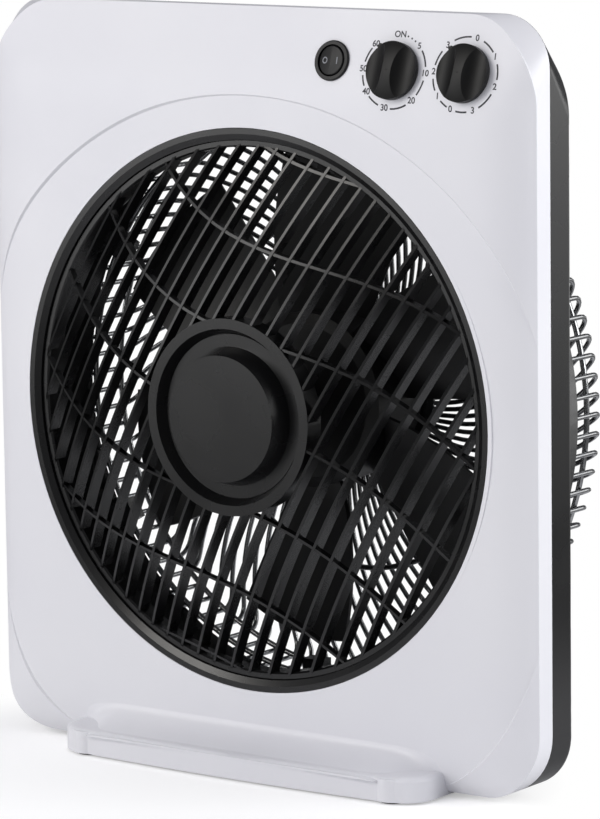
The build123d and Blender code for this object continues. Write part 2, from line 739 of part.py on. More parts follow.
def louvre_cap():
    """Hollow truncated cone that closes the middle of the louvre."""
    inner_back = cap_foot_front + cap_foot_thickness
    return turned((0, cap_front), (cap_face_radius, cap_front), (cap_cone_radius, cap_foot_front),
                  (cap_radius, cap_foot_front), (cap_radius, inner_back),
                  (cap_cone_radius - cap_wall, inner_back),
                  (cap_face_radius - cap_wall, cap_front + cap_wall), (0, cap_front + cap_wall))


def bezel_ring():
    """Black ring that lines the opening, with the flange that is screwed to the front shell."""
    body = turned((bezel_bore, opening_plane + 2.0), (bezel_front_land, opening_plane),
                  (bezel_radius, opening_plane), (bezel_radius, bezel_flange_front),
                  (bezel_flange_radius, bezel_flange_front), (bezel_flange_radius, bezel_flange_back),
                  (bezel_bore, bezel_flange_back))
    return body - hole(screw_radius + 0.1, 0, 10, bezel_screw_places())


def rim_glides():
    """Nylon pads that hold the louvre's flange against the bezel."""
    foot_inner = louvre_flange_radius + 0.4
    foot_outer = bezel_flange_radius - 0.5
    tongue_front = louvre_back + fit_gap
    back = tongue_front + glide_thickness
    foot = block(foot_outer - foot_inner, glide_width, bezel_flange_back, back,
                 (foot_inner + foot_outer) / 2, 0)
    tongue = block(foot_outer - glide_tongue_radius, glide_width, tongue_front, back,
                   (foot_outer + glide_tongue_radius) / 2, 0)
    pad = foot + tongue - disc(screw_radius + 0.1, 0, 20, bezel_screw_circle, 0)
    pad -= disc(louvre_flange_radius + 0.4, bezel_flange_back - 1, tongue_front)
    return around(pad, glide_count, glide_angle)


def bezel_screws():
    """Screws through the glides and the bezel into the front shell."""
    head = louvre_back + fit_gap + glide_thickness + screw_head_height
    return [screw(head, -3.0, *place) for place in bezel_screw_places()]


# ------------------------------------------------------------------ louvre drive
def drive_roller():
    """Rubber tyred wheel that turns the louvre by its flange."""
    x, z = drive_centre()
    wheel = disc(roller_radius, roller_front, roller_front + roller_width, x, z)
    wheel += disc(5.0, roller_front, drive_motor_front - 0.6, x, z)
    return wheel - disc(spindle_radius + 0.01, 0, 20, x, z)


def drive_spindle():
    """Spindle of the louvre drive."""
    x, z = drive_centre()
    return disc(spindle_radius, roller_front, drive_motor_front + 8.0, x, z)


def louvre_motor():
    """Flat synchronous motor with two ears."""
    x, z = drive_centre()
    can = disc(drive_motor_radius, drive_motor_front, drive_motor_front + drive_motor_length, x, z)
    can = fillet(can.edges().sort_by(Axis.Y)[-1], 1.5)
    ears = Rot(0, 0, drive_angle - 90) * SlotCenterToCenter(2 * drive_ear_spread, 9.0)
    can += slab(Pos(x, z) * ears, drive_motor_front, drive_motor_front + drive_ear_thickness)
    can -= disc(spindle_radius + running_gap, drive_motor_front - 1, drive_motor_front + 9.0, x, z)
    return can - hole(screw_radius + 0.1, drive_motor_front - 1, drive_motor_front + 3, drive_ear_places())


def louvre_motor_screws():
    """Screws through the ears of the louvre motor."""
    head = drive_motor_front + drive_ear_thickness + screw_head_height
    return [screw(head, drive_motor_front - 7.0, *place) for place in drive_ear_places()]


# ------------------------------------------------------------------ controls
def control_knob(place):
    """Low round knob: two scoops in a shallow dome leave an upright grip bar."""
    sagitta = knob_height - knob_rim_height
    dome_radius = (knob_radius ** 2 + sagitta ** 2) / (2 * sagitta)
    body = Cylinder(knob_radius, knob_height, align=(Align.CENTER, Align.CENTER, Align.MIN))
    body &= Pos(0, 0, knob_height - dome_radius) * Sphere(dome_radius)
    centre_height = knob_scoop_floor + knob_scoop_radius
    offset = math.sqrt(knob_scoop_radius ** 2 - (centre_height - knob_height) ** 2)
    for side in (-1, 1):
        middle = side * (knob_grip_half_width + offset)
        body -= Pos(middle, 0, centre_height) * Rot(90, 0, 0) * Cylinder(knob_scoop_radius, 4 * knob_radius)
    pointer_root = knob_radius - 4.0
    pointer = Pos((pointer_root + knob_pointer_reach) / 2, 0, knob_pointer_height / 2) * Box(
        knob_pointer_reach - pointer_root, knob_pointer_width, knob_pointer_height)
    pointer = fillet(pointer.edges().filter_by(Axis.Z).group_by(Axis.X)[-1], 1.0)
    body += Rot(0, 0, knob_pointer_angle) * pointer
    body = Rot(0, 0, knob_grip_turn) * body
    socket = Cylinder(shaft_radius + 0.02, 2 * knob_socket_depth)
    socket -= Pos(0, shaft_flat + 0.02 + 5, 0) * Box(10, 10, 2 * knob_socket_depth)
    body -= socket
    return console_spot(place) * Pos(0, 0, knob_lift) * body


def control_shaft(place, depth):
    """Round control shaft with a flat for the knob."""
    top = knob_lift + knob_socket_depth - 0.5
    shaft = Pos(0, 0, top) * Cylinder(shaft_radius, top + console_pad_depth + depth,
                                      align=(Align.CENTER, Align.CENTER, Align.MAX))
    flat = Pos(0, shaft_flat + 5, 0) * Box(10, 10, 2 * top)
    flat -= Pos(0, 0, -20) * Box(30, 30, 40 + 1.0)
    return console_spot(place) * (shaft - flat)


def control_case(place, size, depth):
    """Box of a switch or timer that is screwed flat behind the control area."""
    seat = -console_pad_depth
    case = Pos(0, case_rise, seat) * Box(size, size, depth, align=(Align.CENTER, Align.CENTER, Align.MAX))
    case = fillet(case.edges().filter_by(Axis.Z), 3.0)
    case -= Pos(0, 0, seat) * Cylinder(shaft_radius + running_gap, 2 * 9.0)
    for side in (-1, 1):
        case -= Pos(side * control_screw_offset, 0, seat) * Cylinder(screw_radius + 0.02, 2 * 5.0)
    return console_spot(place) * case


def control_screws():
    """Screws of the timer and the speed switch, under the knobs."""
    pieces = []
    for place in (timer_place, speed_place):
        for side in (-1, 1):
            piece = Rot(90, 0, 0) * screw(
                screw_head_height - control_screw_recess, -console_pad_depth - 4.0)
            pieces.append(console_spot(place) * Pos(side * control_screw_offset, 0, 0) * piece)
    return pieces


def switch_body():
    """Round body of the louvre switch with its flange."""
    outer = extrude(Circle(rocker_flange_radius), amount=rocker_flange_height)
    outer = fillet(outer.edges().sort_by(Axis.Z)[-1], 0.8)
    outer += Cylinder(rocker_body_radius, rocker_body_depth, align=(Align.CENTER, Align.CENTER, Align.MAX))
    bore_depth = rocker_ball_radius - rocker_pivot + 0.5
    bore = Cylinder(rocker_bore_radius, bore_depth + rocker_flange_height + 1,
                    align=(Align.CENTER, Align.CENTER, Align.MAX))
    outer -= Pos(0, 0, rocker_flange_height + 1) * bore
    pin_hole = Pos(0, 0, rocker_pivot) * Rot(90, 0, 0) * Cylinder(rocker_pin_radius + running_gap, 2 * 9.5)
    outer -= pin_hole
    for side in (-1, 1):
        tab = Pos(side * 4.0, 0, -rocker_body_depth) * Box(0.8, 4.8, 12.0)
        outer += tab
    return console_spot(rocker_place) * Pos(0, 0, rocker_lift) * outer


def switch_rocker():
    """Rocker on its pins: part of a ball whose top is a shallow V."""
    ball = Sphere(rocker_ball_radius)
    for tilt in (-rocker_swing / 2, rocker_swing / 2):
        side = 1 if tilt > 0 else -1
        face = Rot(0, tilt, 0) * Pos(side * 20, 0, 3.4 + 10)
        ball -= face * Box(40, 40, 20)
    ball -= Pos(0, 0, -5.0 - 10) * Box(40, 40, 20)
    pin = Rot(90, 0, 0) * Cylinder(rocker_pin_radius, 2 * 9.35)
    rocker = Rot(0, -rocker_swing / 2, 0) * (ball + pin)
    return console_spot(rocker_place) * Pos(0, 0, rocker_lift + rocker_pivot) * rocker


# ------------------------------------------------------------------ impeller and motor
def blade():
    """One twisted blade round angle zero, thickened from its middle surface."""
    rows = []
    steps = 6
    root = hub_radius - hub_wall / 2
    for row in range(steps + 1):
        outward = row / steps
        radius = root + (blade_tip_radius - root) * outward
        span = blade_root_span + (blade_tip_span - blade_root_span) * outward
        reach = blade_root_depth + (blade_tip_depth - blade_root_depth) * outward
        rows.append([])
        for column in range(steps + 1):
            across = column / steps - 0.5
            x, z = polar(radius, blade_sweep * (0.5 - outward) + span * across)
            rows[-1].append((x, blade_middle - reach * across, z))
    face = Face.make_surface_from_array_of_points(rows, tol=0.02)
    return thicken(face, amount=blade_thickness / 2, both=True)


def impeller():
    """Six bladed impeller with a cup shaped hub that reaches over the motor."""
    hub = turned((0, hub_front), (hub_radius - 6, hub_front), (hub_radius, hub_front + 4),
                 (hub_radius, hub_back), (hub_radius - hub_wall, hub_back),
                 (hub_radius - hub_wall, hub_front + 5), (hub_radius - 7, hub_front + hub_wall),
                 (hub_boss_radius, hub_front + hub_wall), (hub_boss_radius, hub_boss_back),
                 (0, hub_boss_back))
    one = blade()
    wheel = hub
    for copy in around(one, blade_count, blade_phase):
        wheel += copy
    wheel -= disc(hub_radius - hub_wall, hub_front + 5, hub_back + 5) - disc(
        hub_boss_radius, hub_front, hub_boss_back)
    return wheel - disc(motor_shaft_radius + 0.02, 0, 100)


def impeller_nut():
    """Spinner nut in front of the impeller."""
    nut = disc(nut_radius, nut_front, hub_front)
    nut = fillet(nut.edges().sort_by(Axis.Y)[0], 2.0)
    for copy in around(disc(2.0, nut_front - 1, hub_front + 1, nut_radius + 0.6, 0), 6):
        nut -= copy
    return nut - disc(motor_shaft_radius + 0.02, motor_shaft_front - 0.5, hub_front + 1)


def motor_shaft():
    """Steel shaft of the fan motor."""
    shaft = disc(motor_shaft_radius, motor_shaft_front, motor_shaft_back)
    return chamfer(shaft.edges().group_by(Axis.Y)[-1], 0.5)


def motor_rotor():
    """Squirrel cage rotor."""
    core = ring(rotor_radius, motor_shaft_radius + 0.02, rotor_front, rotor_back)
    for copy in around(disc(1.2, rotor_front - 1, rotor_front + 2.0, rotor_radius - 3, 0), 12):
        core -= copy
    return core


def motor_stator():
    """Laminated stator with slots and holes for the tie screws."""
    core = ring(stator_radius, stator_bore, stator_front, stator_back)
    slot = block(9.0, 4.0, stator_front - 1, stator_back + 1, 28.5, 0)
    slot += block(4.0, 1.6, stator_front - 1, stator_back + 1, 23.0, 0)
    for copy in around(slot, 16):
        core -= copy
    ties = [polar(tie_screw_circle, 45 + 90 * step) for step in range(4)]
    return core - hole(tie_screw_radius + 0.2, stator_front - 1, stator_back + 1, ties)


def stator_coils():
    """Winding heads in front of and behind the stator."""
    half = (coil_outer_radius - coil_inner_radius) / 2
    middle = (coil_outer_radius + coil_inner_radius) / 2
    pieces = []
    for depth in (stator_front - coil_height / 2 - fit_gap, stator_back + coil_height / 2 + fit_gap):
        section = Pos(middle, depth) * RectangleRounded(2 * half, coil_height, 2.0)
        pieces.append(revolve(section, axis=Axis.Y))
    return pieces


def motor_front_bracket():
    """Front half of the motor housing with the front bearing seat."""
    back = bracket_split - bracket_gap / 2
    seat = bearing_radius + 0.02
    cup = turned((motor_shaft_radius + 1.5, front_bracket_front), (bracket_radius - 3, front_bracket_front),
                 (bracket_radius, front_bracket_front + 3), (bracket_radius, back),
                 (stator_radius + 0.02, back), (stator_radius + 0.02, front_bracket_front + 8),
                 (coil_outer_radius + 1, front_bracket_front + bracket_wall),
                 (seat + 2.5, front_bracket_front + bracket_wall),
                 (seat + 2.5, front_bearing_front + bearing_length),
                 (seat, front_bearing_front + bearing_length), (seat, front_bearing_front),
                 (motor_shaft_radius + 1.5, front_bearing_front))
    ties = [polar(tie_screw_circle, 45 + 90 * step) for step in range(4)]
    for place in ties:
        post = disc(4.0, front_bracket_front + 0.5, stator_front - 0.5, *place)
        cup += post & disc(bracket_radius - 1.0, 0, 100)
    cup -= hole(tie_screw_radius + 0.1, front_bracket_front - 1, stator_front + 1, ties)
    vent = block(12.0, 3.0, front_bracket_front - 1, front_bracket_front + 4, 22.0, 0)
    for copy in around(vent, 8, 22.5):
        cup -= copy
    return cup


def motor_rear_bracket():
    """Rear half of the motor housing; its back lies on the guard's plate."""
    front = bracket_split + bracket_gap / 2
    back = plate_front
    seat = bearing_radius + 0.02
    cup = turned((motor_shaft_radius + 1.5, back), (bracket_radius - 3, back),
                 (bracket_radius, back - 3), (bracket_radius, front), (stator_radius + 0.02, front),
                 (stator_radius + 0.02, back - 8), (coil_outer_radius + 1, back - bracket_wall),
                 (seat + 2.5, back - bracket_wall), (seat + 2.5, rear_bearing_front),
                 (seat, rear_bearing_front), (seat, rear_bearing_front + bearing_length),
                 (motor_shaft_radius + 1.5, rear_bearing_front + bearing_length))
    ties = [polar(tie_screw_circle, 45 + 90 * step) for step in range(4)]
    for place in ties:
        post = disc(4.0, stator_back + 0.5, back - 0.5, *place)
        cup += post & disc(bracket_radius - 1.0, 0, 200)
    mounts = [polar(mount_screw_circle, 90 * step) for step in range(4)]
    for place in mounts:
        cup += disc(4.0, back - 8.5, back - 0.5, *place)
    cup -= hole(tie_screw_radius - 0.28, stator_back - 1, stator_back + 9, ties)
    return cup - hole(screw_radius + 0.02, back - 7, back + 1, mounts)


def bearing(front):
    """Plain bearing bush of the fan motor."""
    return ring(bearing_radius, motor_shaft_radius + running_gap, front, front + bearing_length)


def motor_screws():
    """Long screws that tie the two brackets and the stator together."""
    places = [polar(tie_screw_circle, 45 + 90 * step) for step in range(4)]
    head = front_bracket_front - screw_head_height
    return [screw(head, stator_back + 7.5, *place) for place in places]


def mount_screws():
    """Screws that hold the motor on the guard's plate."""
    head = plate_front + plate_thickness + screw_head_height
    return [screw(head, plate_front - 5.5, *polar(mount_screw_circle, 90 * step)) for step in range(4)]


# ------------------------------------------------------------------ wire guard
def bend(centre, direction, target, radius):
    """Round wire that leaves a point in a direction and bends in one arc to a target."""
    run = target - centre
    ahead = run.dot(direction)
    sideways = run - direction * ahead
    reach = sideways.length
    inward = sideways.normalized()
    middle = centre + inward * ((ahead ** 2 + reach ** 2) / (2 * reach))
    angle = 2 * math.atan2(reach, ahead)
    section = Plane(origin=centre, z_dir=direction) * Circle(radius)
    arc = revolve(section, axis=Axis(middle, direction.cross(inward)), revolution_arc=math.degrees(angle))
    return arc, direction * math.cos(angle) + inward * math.sin(angle)


def guard_wire():
    """One guard wire: straight along the side, bent, then a swirl to the middle."""
    side_end = Vector(guard_radius, guard_bend_start, 0)
    lean = math.radians(guard_rim_lean)
    bend_end = side_end + Vector(-guard_bend_reach * math.cos(lean), guard_bend_rise,
                                 -guard_bend_reach * math.sin(lean))
    x, z = polar(guard_inner_radius, -guard_swirl)
    inner_end = Vector(x, guard_inner_depth, z)
    side = Pos(guard_radius, 0, 0) * disc(wire_radius, guard_front, guard_bend_start)
    corner, direction = bend(side_end, Vector(0, 1, 0), bend_end, wire_radius)
    back, direction = bend(bend_end, direction, inner_end, wire_radius)
    return side + corner + back


def wire_loop(radius, depth):
    """Closed ring of wire round the fan axis."""
    return revolve(Pos(radius, depth) * Circle(ring_wire_radius), axis=Axis.Y)


def guard_rings():
    """Rings welded inside the guard wires, and the tabs for the guard's screws."""
    outer = guard_radius - wire_radius - ring_wire_radius - weld_gap
    pieces = [wire_loop(outer, depth) for depth in outer_ring_depths]
    pieces.append(wire_loop(inner_ring_radius, inner_ring_depth))
    base = pieces[0]
    for angle in guard_lug_angles():
        reach = outer + 1.0
        middle = (tab_inner_radius + reach) / 2
        tab = block(reach - tab_inner_radius, tab_width, lug_back, lug_back + tab_thickness, middle, 0)
        tab += block(2.0, tab_width, lug_back, outer_ring_depths[0], outer - 0.2, 0)
        base += swung(tab - disc(screw_radius + 0.1, 50, 70, tab_screw_circle, 0), angle)
    pieces[0] = base
    return pieces


def guard_plate():
    """Round steel plate in the middle of the guard; it carries the fan motor."""
    plate = disc(plate_radius, plate_front, plate_front + plate_thickness)
    mounts = [polar(mount_screw_circle, 90 * step) for step in range(4)]
    plate -= disc(motor_shaft_radius + 1.5, plate_front - 1, plate_front + 3)
    return plate - hole(screw_radius + 0.1, plate_front - 1, plate_front + 3, mounts)


def guard_screws():
    """Screws through the guard's tabs into the lugs of the rear shell."""
    head = lug_back + tab_thickness + screw_head_height
    return [screw(head, lug_back - 6.5, *polar(tab_screw_circle, angle)) for angle in guard_lug_angles()]


# ------------------------------------------------------------------ small parts
def housing_screws():
    """Screws from the back that join the shells."""
    head = housing_boss_joint + 6 + screw_head_height
    return [screw(head, 8.0, *place) for place in housing_screw_places()]


def rubber_feet():
    """Four round pads under the two feet."""
    places = [front_pad_place, (-front_pad_place[0], front_pad_place[1]),
              rear_pad_place, (-rear_pad_place[0], rear_pad_place[1])]
    pieces = []
    for x, y in places:
        pad = Pos(x, y, table_level) * Cylinder(pad_radius, pad_thickness,
                                                align=(Align.CENTER, Align.CENTER, Align.MIN))
        pieces.append(chamfer(pad.edges().sort_by(Axis.Z)[0], 0.5))
    return pieces


def motor_capacitor():
    """Run capacitor with a screw ear, on the inside of the back wall."""
    back = rim_depth - wall
    x, z = capacitor_place
    body = block(capacitor_size[0], capacitor_size[2], back - capacitor_size[1], back, x, z)
    body = fillet(body.edges().filter_by(Axis.Y), 2.0)
    ear_back = back - 5.5
    ear = block(9.0, 12.0, ear_back - 2.0, ear_back, x, capacitor_screw_place()[1] - 1.0)
    return body + ear - disc(screw_radius + 0.1, 0, 40, *capacitor_screw_place())


def capacitor_screw():
    """Screw of the capacitor."""
    ear_front = rim_depth - wall - 7.5
    return screw(ear_front - screw_head_height, rim_depth - wall - 1.5, *capacitor_screw_place())


def cord_gland():
    """Bush for the mains cord in the back wall."""
    back = rim_depth
    front = rim_depth - wall
    bush = disc(gland_radius, back, back + 3.0, *gland_place)
    bush = fillet(bush.edges().sort_by(Axis.Y)[-1], 1.2)
    bush += disc(gland_radius - 1.0 - fit_gap, front - 3.0, back, *gland_place)
    bush += disc(gland_radius, front - 3.0, front - fit_gap, *gland_place)
    return bush - disc(gland_bore, 20, 45, *gland_place)


# ------------------------------------------------------------------ all parts
write_part("front_housing", front_housing())
write_part("rear_housing", rear_housing())
write_part("bezel_ring", bezel_ring())
write_part("louvre_grille", louvre_grille())
write_part("louvre_cap", louvre_cap())
write_part("rim_glides", rim_glides())
write_part("bezel_screws", bezel_screws())
write_part("drive_roller", drive_roller())
write_part("drive_spindle", drive_spindle())
write_part("louvre_motor", louvre_motor())
write_part("louvre_motor_screws", louvre_motor_screws())
write_part("timer_knob", control_knob(timer_place))
write_part("timer_shaft", control_shaft(timer_place, 8.0))
write_part("timer_case", control_case(timer_place, timer_case_size, timer_case_depth))
write_part("speed_knob", control_knob(speed_place))
write_part("speed_shaft", control_shaft(speed_place, 8.0))
write_part("speed_case", control_case(speed_place, speed_case_size, speed_case_depth))
write_part("control_screws", control_screws())
write_part("switch_body", switch_body())
write_part("switch_rocker", switch_rocker())
write_part("impeller", impeller())
write_part("impeller_nut", impeller_nut())
write_part("motor_shaft", motor_shaft())
write_part("motor_rotor", motor_rotor())
write_part("motor_stator", motor_stator())
write_part("stator_coils", stator_coils())
write_part("motor_front_bracket", motor_front_bracket())
write_part("motor_rear_bracket", motor_rear_bracket())
write_part("front_bearing", bearing(front_bearing_front))
write_part("rear_bearing", bearing(rear_bearing_front))
write_part("motor_screws", motor_screws())
write_part("mount_screws", mount_screws())
write_part("guard_wires", around(guard_wire(), wire_count))
write_part("guard_rings", guard_rings())
write_part("guard_plate", guard_plate())
write_part("guard_screws", guard_screws())
write_part("housing_screws", housing_screws())
write_part("rubber_feet", rubber_feet())
write_part("motor_capacitor", motor_capacitor())
write_part("capacitor_screw", capacitor_screw())
write_part("cord_gland", cord_gland())
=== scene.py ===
"""Looks of an upright box fan with a turning louvre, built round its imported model.

Everything is in metres, in the model's own frame: X to the right as seen from the
front, Y to the back, Z up, with the table at height zero.
"""

import json
import logging
import math
from dataclasses import dataclass, field
from enum import Enum

import bmesh
import bpy
from mathutils import Matrix, Vector
from mathutils.bvhtree import BVHTree


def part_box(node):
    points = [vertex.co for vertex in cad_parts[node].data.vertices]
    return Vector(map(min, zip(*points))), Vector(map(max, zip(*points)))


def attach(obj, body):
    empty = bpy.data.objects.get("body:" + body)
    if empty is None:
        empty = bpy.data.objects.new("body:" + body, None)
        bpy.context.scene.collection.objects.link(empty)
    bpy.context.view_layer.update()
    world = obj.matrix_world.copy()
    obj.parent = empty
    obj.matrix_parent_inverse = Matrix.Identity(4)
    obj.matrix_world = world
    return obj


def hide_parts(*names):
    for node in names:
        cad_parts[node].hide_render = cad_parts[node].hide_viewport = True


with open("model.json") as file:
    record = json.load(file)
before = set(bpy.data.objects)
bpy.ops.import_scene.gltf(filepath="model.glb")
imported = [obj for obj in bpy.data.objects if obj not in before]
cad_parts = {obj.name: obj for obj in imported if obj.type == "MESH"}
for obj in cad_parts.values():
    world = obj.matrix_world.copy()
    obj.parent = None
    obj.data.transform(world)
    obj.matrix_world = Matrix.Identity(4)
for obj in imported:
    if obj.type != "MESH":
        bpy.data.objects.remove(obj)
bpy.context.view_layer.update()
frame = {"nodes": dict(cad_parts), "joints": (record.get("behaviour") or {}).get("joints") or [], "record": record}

log = logging.getLogger("box_fan")
MM = 0.001
IMAGE_WIDTH = 600
PRINT_REACH = 30 * MM          # prints are dropped onto their surface from this far off
WELD = 0.001 * MM              # corners closer than this are one
CAPITAL_SHARE = 0.72           # a capital's height as a share of the type's size
RIGHT = Vector((1, 0, 0))


# ---------------------------------------------------------------- small helpers
def linear(hex_colour: str) -> tuple[float, float, float, float]:
    """Turns an sRGB hex colour to the linear values that a shader wants.

    Args:
        hex_colour: Six hex digits, such as "E4E6EC".

    Returns:
        Red, green, blue and an alpha of one.
    """
    parts = [int(hex_colour[i : i + 2], 16) / 255 for i in (0, 2, 4)]
    red, green, blue = (p / 12.92 if p <= 0.04045 else ((p + 0.055) / 1.055) ** 2.4 for p in parts)
    return red, green, blue, 1.0


def add(tree: bpy.types.NodeTree, kind: str, settings: dict | None = None,
        inputs: dict | None = None) -> bpy.types.Node:
    """Adds one shader node with its settings and links.

    Args:
        tree: The node tree that gets the node.
        kind: The node's Blender type, without "ShaderNode".
        settings: Attributes of the node by name.
        inputs: Sockets by name or number; a value is either a constant or another socket.

    Returns:
        The new node.
    """
    made = tree.nodes.new("ShaderNode" + kind)
    for name, value in (settings or {}).items():
        setattr(made, name, value)
    for name, value in (inputs or {}).items():
        if isinstance(value, bpy.types.NodeSocket):
            tree.links.new(value, made.inputs[name])
        else:
            made.inputs[name].default_value = value
    return made


def ramp(tree: bpy.types.NodeTree, value: bpy.types.NodeSocket, low: float, high: float,
         out_low: float, out_high: float) -> bpy.types.NodeSocket:
    """Maps a value from one range to another and clamps it.

    Args:
        tree: The node tree.
        value: The socket to map.
        low: Input that gives out_low.
        high: Input that gives out_high.
        out_low: Result at the low end.
        out_high: Result at the high end.

    Returns:
        The mapped socket.
    """
    mapped = add(tree, "MapRange", None, {
        "Value": value, "From Min": low, "From Max": high, "To Min": out_low, "To Max": out_high})
    return mapped.outputs["Result"]


# ---------------------------------------------------------------- finishes
CLOUD_MM = 35.0                # size of the patches in which every finish is a little duller
WAVE_UNITS = 20.0              # a wave texture of scale 1 repeats every tau / 20 units


@dataclass(frozen=True)
class Finish:
    """What every finish has: a name, a colour, a roughness and an index of refraction."""

    name: str
    colour: str
    roughness: float
    ior: float = 1.5
    metallic: float = 0.0
    uneven: float = 0.04      # how far the roughness wanders either way

    def build(self) -> bpy.types.Material:
        """Makes the material.

        Returns:
            A node-based material, ready to put on a piece.
        """
        material = bpy.data.materials.new(self.name)
        material.use_nodes = True
        tree = material.node_tree
        tree.nodes.clear()
        where = add(tree, "TexCoord").outputs["Object"]
        shader = add(tree, "BsdfPrincipled", None, {
            "Base Color": linear(self.colour), "Metallic": self.metallic,
            "Roughness": self.roughness, "IOR": self.ior})
        cloud = add(tree, "TexNoise", None, {
            "Vector": where, "Scale": 1 / (CLOUD_MM * MM), "Detail": 3.0})
        tree.links.new(ramp(tree, cloud.outputs["Fac"], 0.3, 0.7, self.roughness - self.uneven,
                            self.roughness + self.uneven), shader.inputs["Roughness"])
        self.dress(tree, where, shader)
        output = add(tree, "OutputMaterial", None, {"Surface": shader.outputs["BSDF"]})
        output.is_active_output = True
        return material

    def dress(self, tree: bpy.types.NodeTree, where: bpy.types.NodeSocket, shader: bpy.types.Node) -> None:
        """Adds what this finish has over a plain one.

        Args:
            tree: The material's node tree.
            where: Object coordinates.
            shader: The material's Principled shader.
        """

    def tint(self, tree: bpy.types.NodeTree, shader: bpy.types.Node, amount: bpy.types.NodeSocket,
             other: str) -> None:
        """Mixes a second colour into the shader's base colour.

        Args:
            tree: The material's node tree.
            shader: The shader whose colour is mixed.
            amount: How much of the other colour, from 0 to 1.
            other: The other colour, as sRGB hex.
        """
        mix = add(tree, "Mix", {"data_type": "RGBA"}, {
            0: amount, 6: linear(self.colour), 7: linear(other)})
        tree.links.new(mix.outputs[2], shader.inputs["Base Color"])

    def relief(self, tree: bpy.types.NodeTree, shader: bpy.types.Node, height: bpy.types.NodeSocket,
               depth_mm: float) -> None:
        """Turns a height to bumps on the surface.

        Args:
            tree: The material's node tree.
            shader: The shader that gets the bumps.
            height: The height pattern, from 0 to 1.
            depth_mm: How deep the pattern is.
        """
        bump = add(tree, "Bump", None, {"Strength": 1.0, "Distance": depth_mm * MM, "Height": height})
        tree.links.new(bump.outputs["Normal"], shader.inputs["Normal"])


@dataclass(frozen=True)
class MouldedPlastic(Finish):
    """Plastic from a spark-eroded mould: a fine even grain that breaks the gloss a little."""

    grain_mm: float = 0.9
    depth_mm: float = 0.004
    shade: str = ""
    shade_mm: float = 120.0

    def dress(self, tree: bpy.types.NodeTree, where: bpy.types.NodeSocket, shader: bpy.types.Node) -> None:
        """Adds the mould's grain, and a slow drift of the colour where the plastic flowed.

        Args:
            tree: The material's node tree.
            where: Object coordinates.
            shader: The material's Principled shader.
        """
        # The real grain is about 0.1 mm, too fine to show, so it is drawn coarser and shallower.
        grain = add(tree, "TexNoise", None, {
            "Vector": where, "Scale": 1 / (self.grain_mm * MM), "Detail": 2.0})
        self.relief(tree, shader, grain.outputs["Fac"], self.depth_mm)
        if self.shade:
            drift = add(tree, "TexNoise", None, {
                "Vector": where, "Scale": 1 / (self.shade_mm * MM), "Detail": 1.0})
            self.tint(tree, shader, ramp(tree, drift.outputs["Fac"], 0.35, 0.65, 0.0, 1.0), self.shade)


@dataclass(frozen=True)
class Rubber(Finish):
    """Moulded rubber: dull, with a dusty bloom in its pores."""

    bloom: str = "3A3A3A"
    pore_mm: float = 0.8
    pore_depth_mm: float = 0.03
    dust_mm: float = 6.0

    def dress(self, tree: bpy.types.NodeTree, where: bpy.types.NodeSocket, shader: bpy.types.Node) -> None:
        """Adds pores and the pale bloom.

        Args:
            tree: The material's node tree.
            where: Object coordinates.
            shader: The material's Principled shader.
        """
        pores = add(tree, "TexVoronoi", None, {"Vector": where, "Scale": 1 / (self.pore_mm * MM)})
        self.relief(tree, shader, pores.outputs["Distance"], self.pore_depth_mm)
        dust = add(tree, "TexNoise", None, {
            "Vector": where, "Scale": 1 / (self.dust_mm * MM), "Detail": 4.0})
        self.tint(tree, shader, ramp(tree, dust.outputs["Fac"], 0.5, 0.75, 0.0, 0.6), self.bloom)


@dataclass(frozen=True)
class PlatedSteel(Finish):
    """Steel with a bright or zinc plating: clear reflections with faint clouds from the bath."""

    cloud: str = "8E9094"
    cloud_mm: float = 7.0
    wave_mm: float = 1.6
    depth_mm: float = 0.006

    def dress(self, tree: bpy.types.NodeTree, where: bpy.types.NodeSocket, shader: bpy.types.Node) -> None:
        """Adds the clouds and the slight waviness of drawn wire or pressed sheet.

        Args:
            tree: The material's node tree.
            where: Object coordinates.
            shader: The material's Principled shader.
        """
        spots = add(tree, "TexNoise", None, {
            "Vector": where, "Scale": 1 / (self.cloud_mm * MM), "Detail": 5.0})
        self.tint(tree, shader, ramp(tree, spots.outputs["Fac"], 0.45, 0.8, 0.0, 0.7), self.cloud)
        wave = add(tree, "TexNoise", None, {
            "Vector": where, "Scale": 1 / (self.wave_mm * MM), "Detail": 1.0})
        self.relief(tree, shader, wave.outputs["Fac"], self.depth_mm)


@dataclass(frozen=True)
class CastMetal(Finish):
    """Die-cast metal: a pebbled skin, with painted shade darkening its hollows."""

    hollow: str = "6E7073"
    grain_mm: float = 1.1
    depth_mm: float = 0.05

    def dress(self, tree: bpy.types.NodeTree, where: bpy.types.NodeSocket, shader: bpy.types.Node) -> None:
        """Adds the pebbled skin and the painted shade in its hollows.

        Args:
            tree: The material's node tree.
            where: Object coordinates.
            shader: The material's Principled shader.
        """
        skin = add(tree, "TexNoise", None, {
            "Vector": where, "Scale": 1 / (self.grain_mm * MM), "Detail": 4.0})
        self.relief(tree, shader, skin.outputs["Fac"], self.depth_mm)
        # Painted shade: the low places of the skin are coloured darker.
        self.tint(tree, shader, ramp(tree, skin.outputs["Fac"], 0.35, 0.6, 0.8, 0.0), self.hollow)


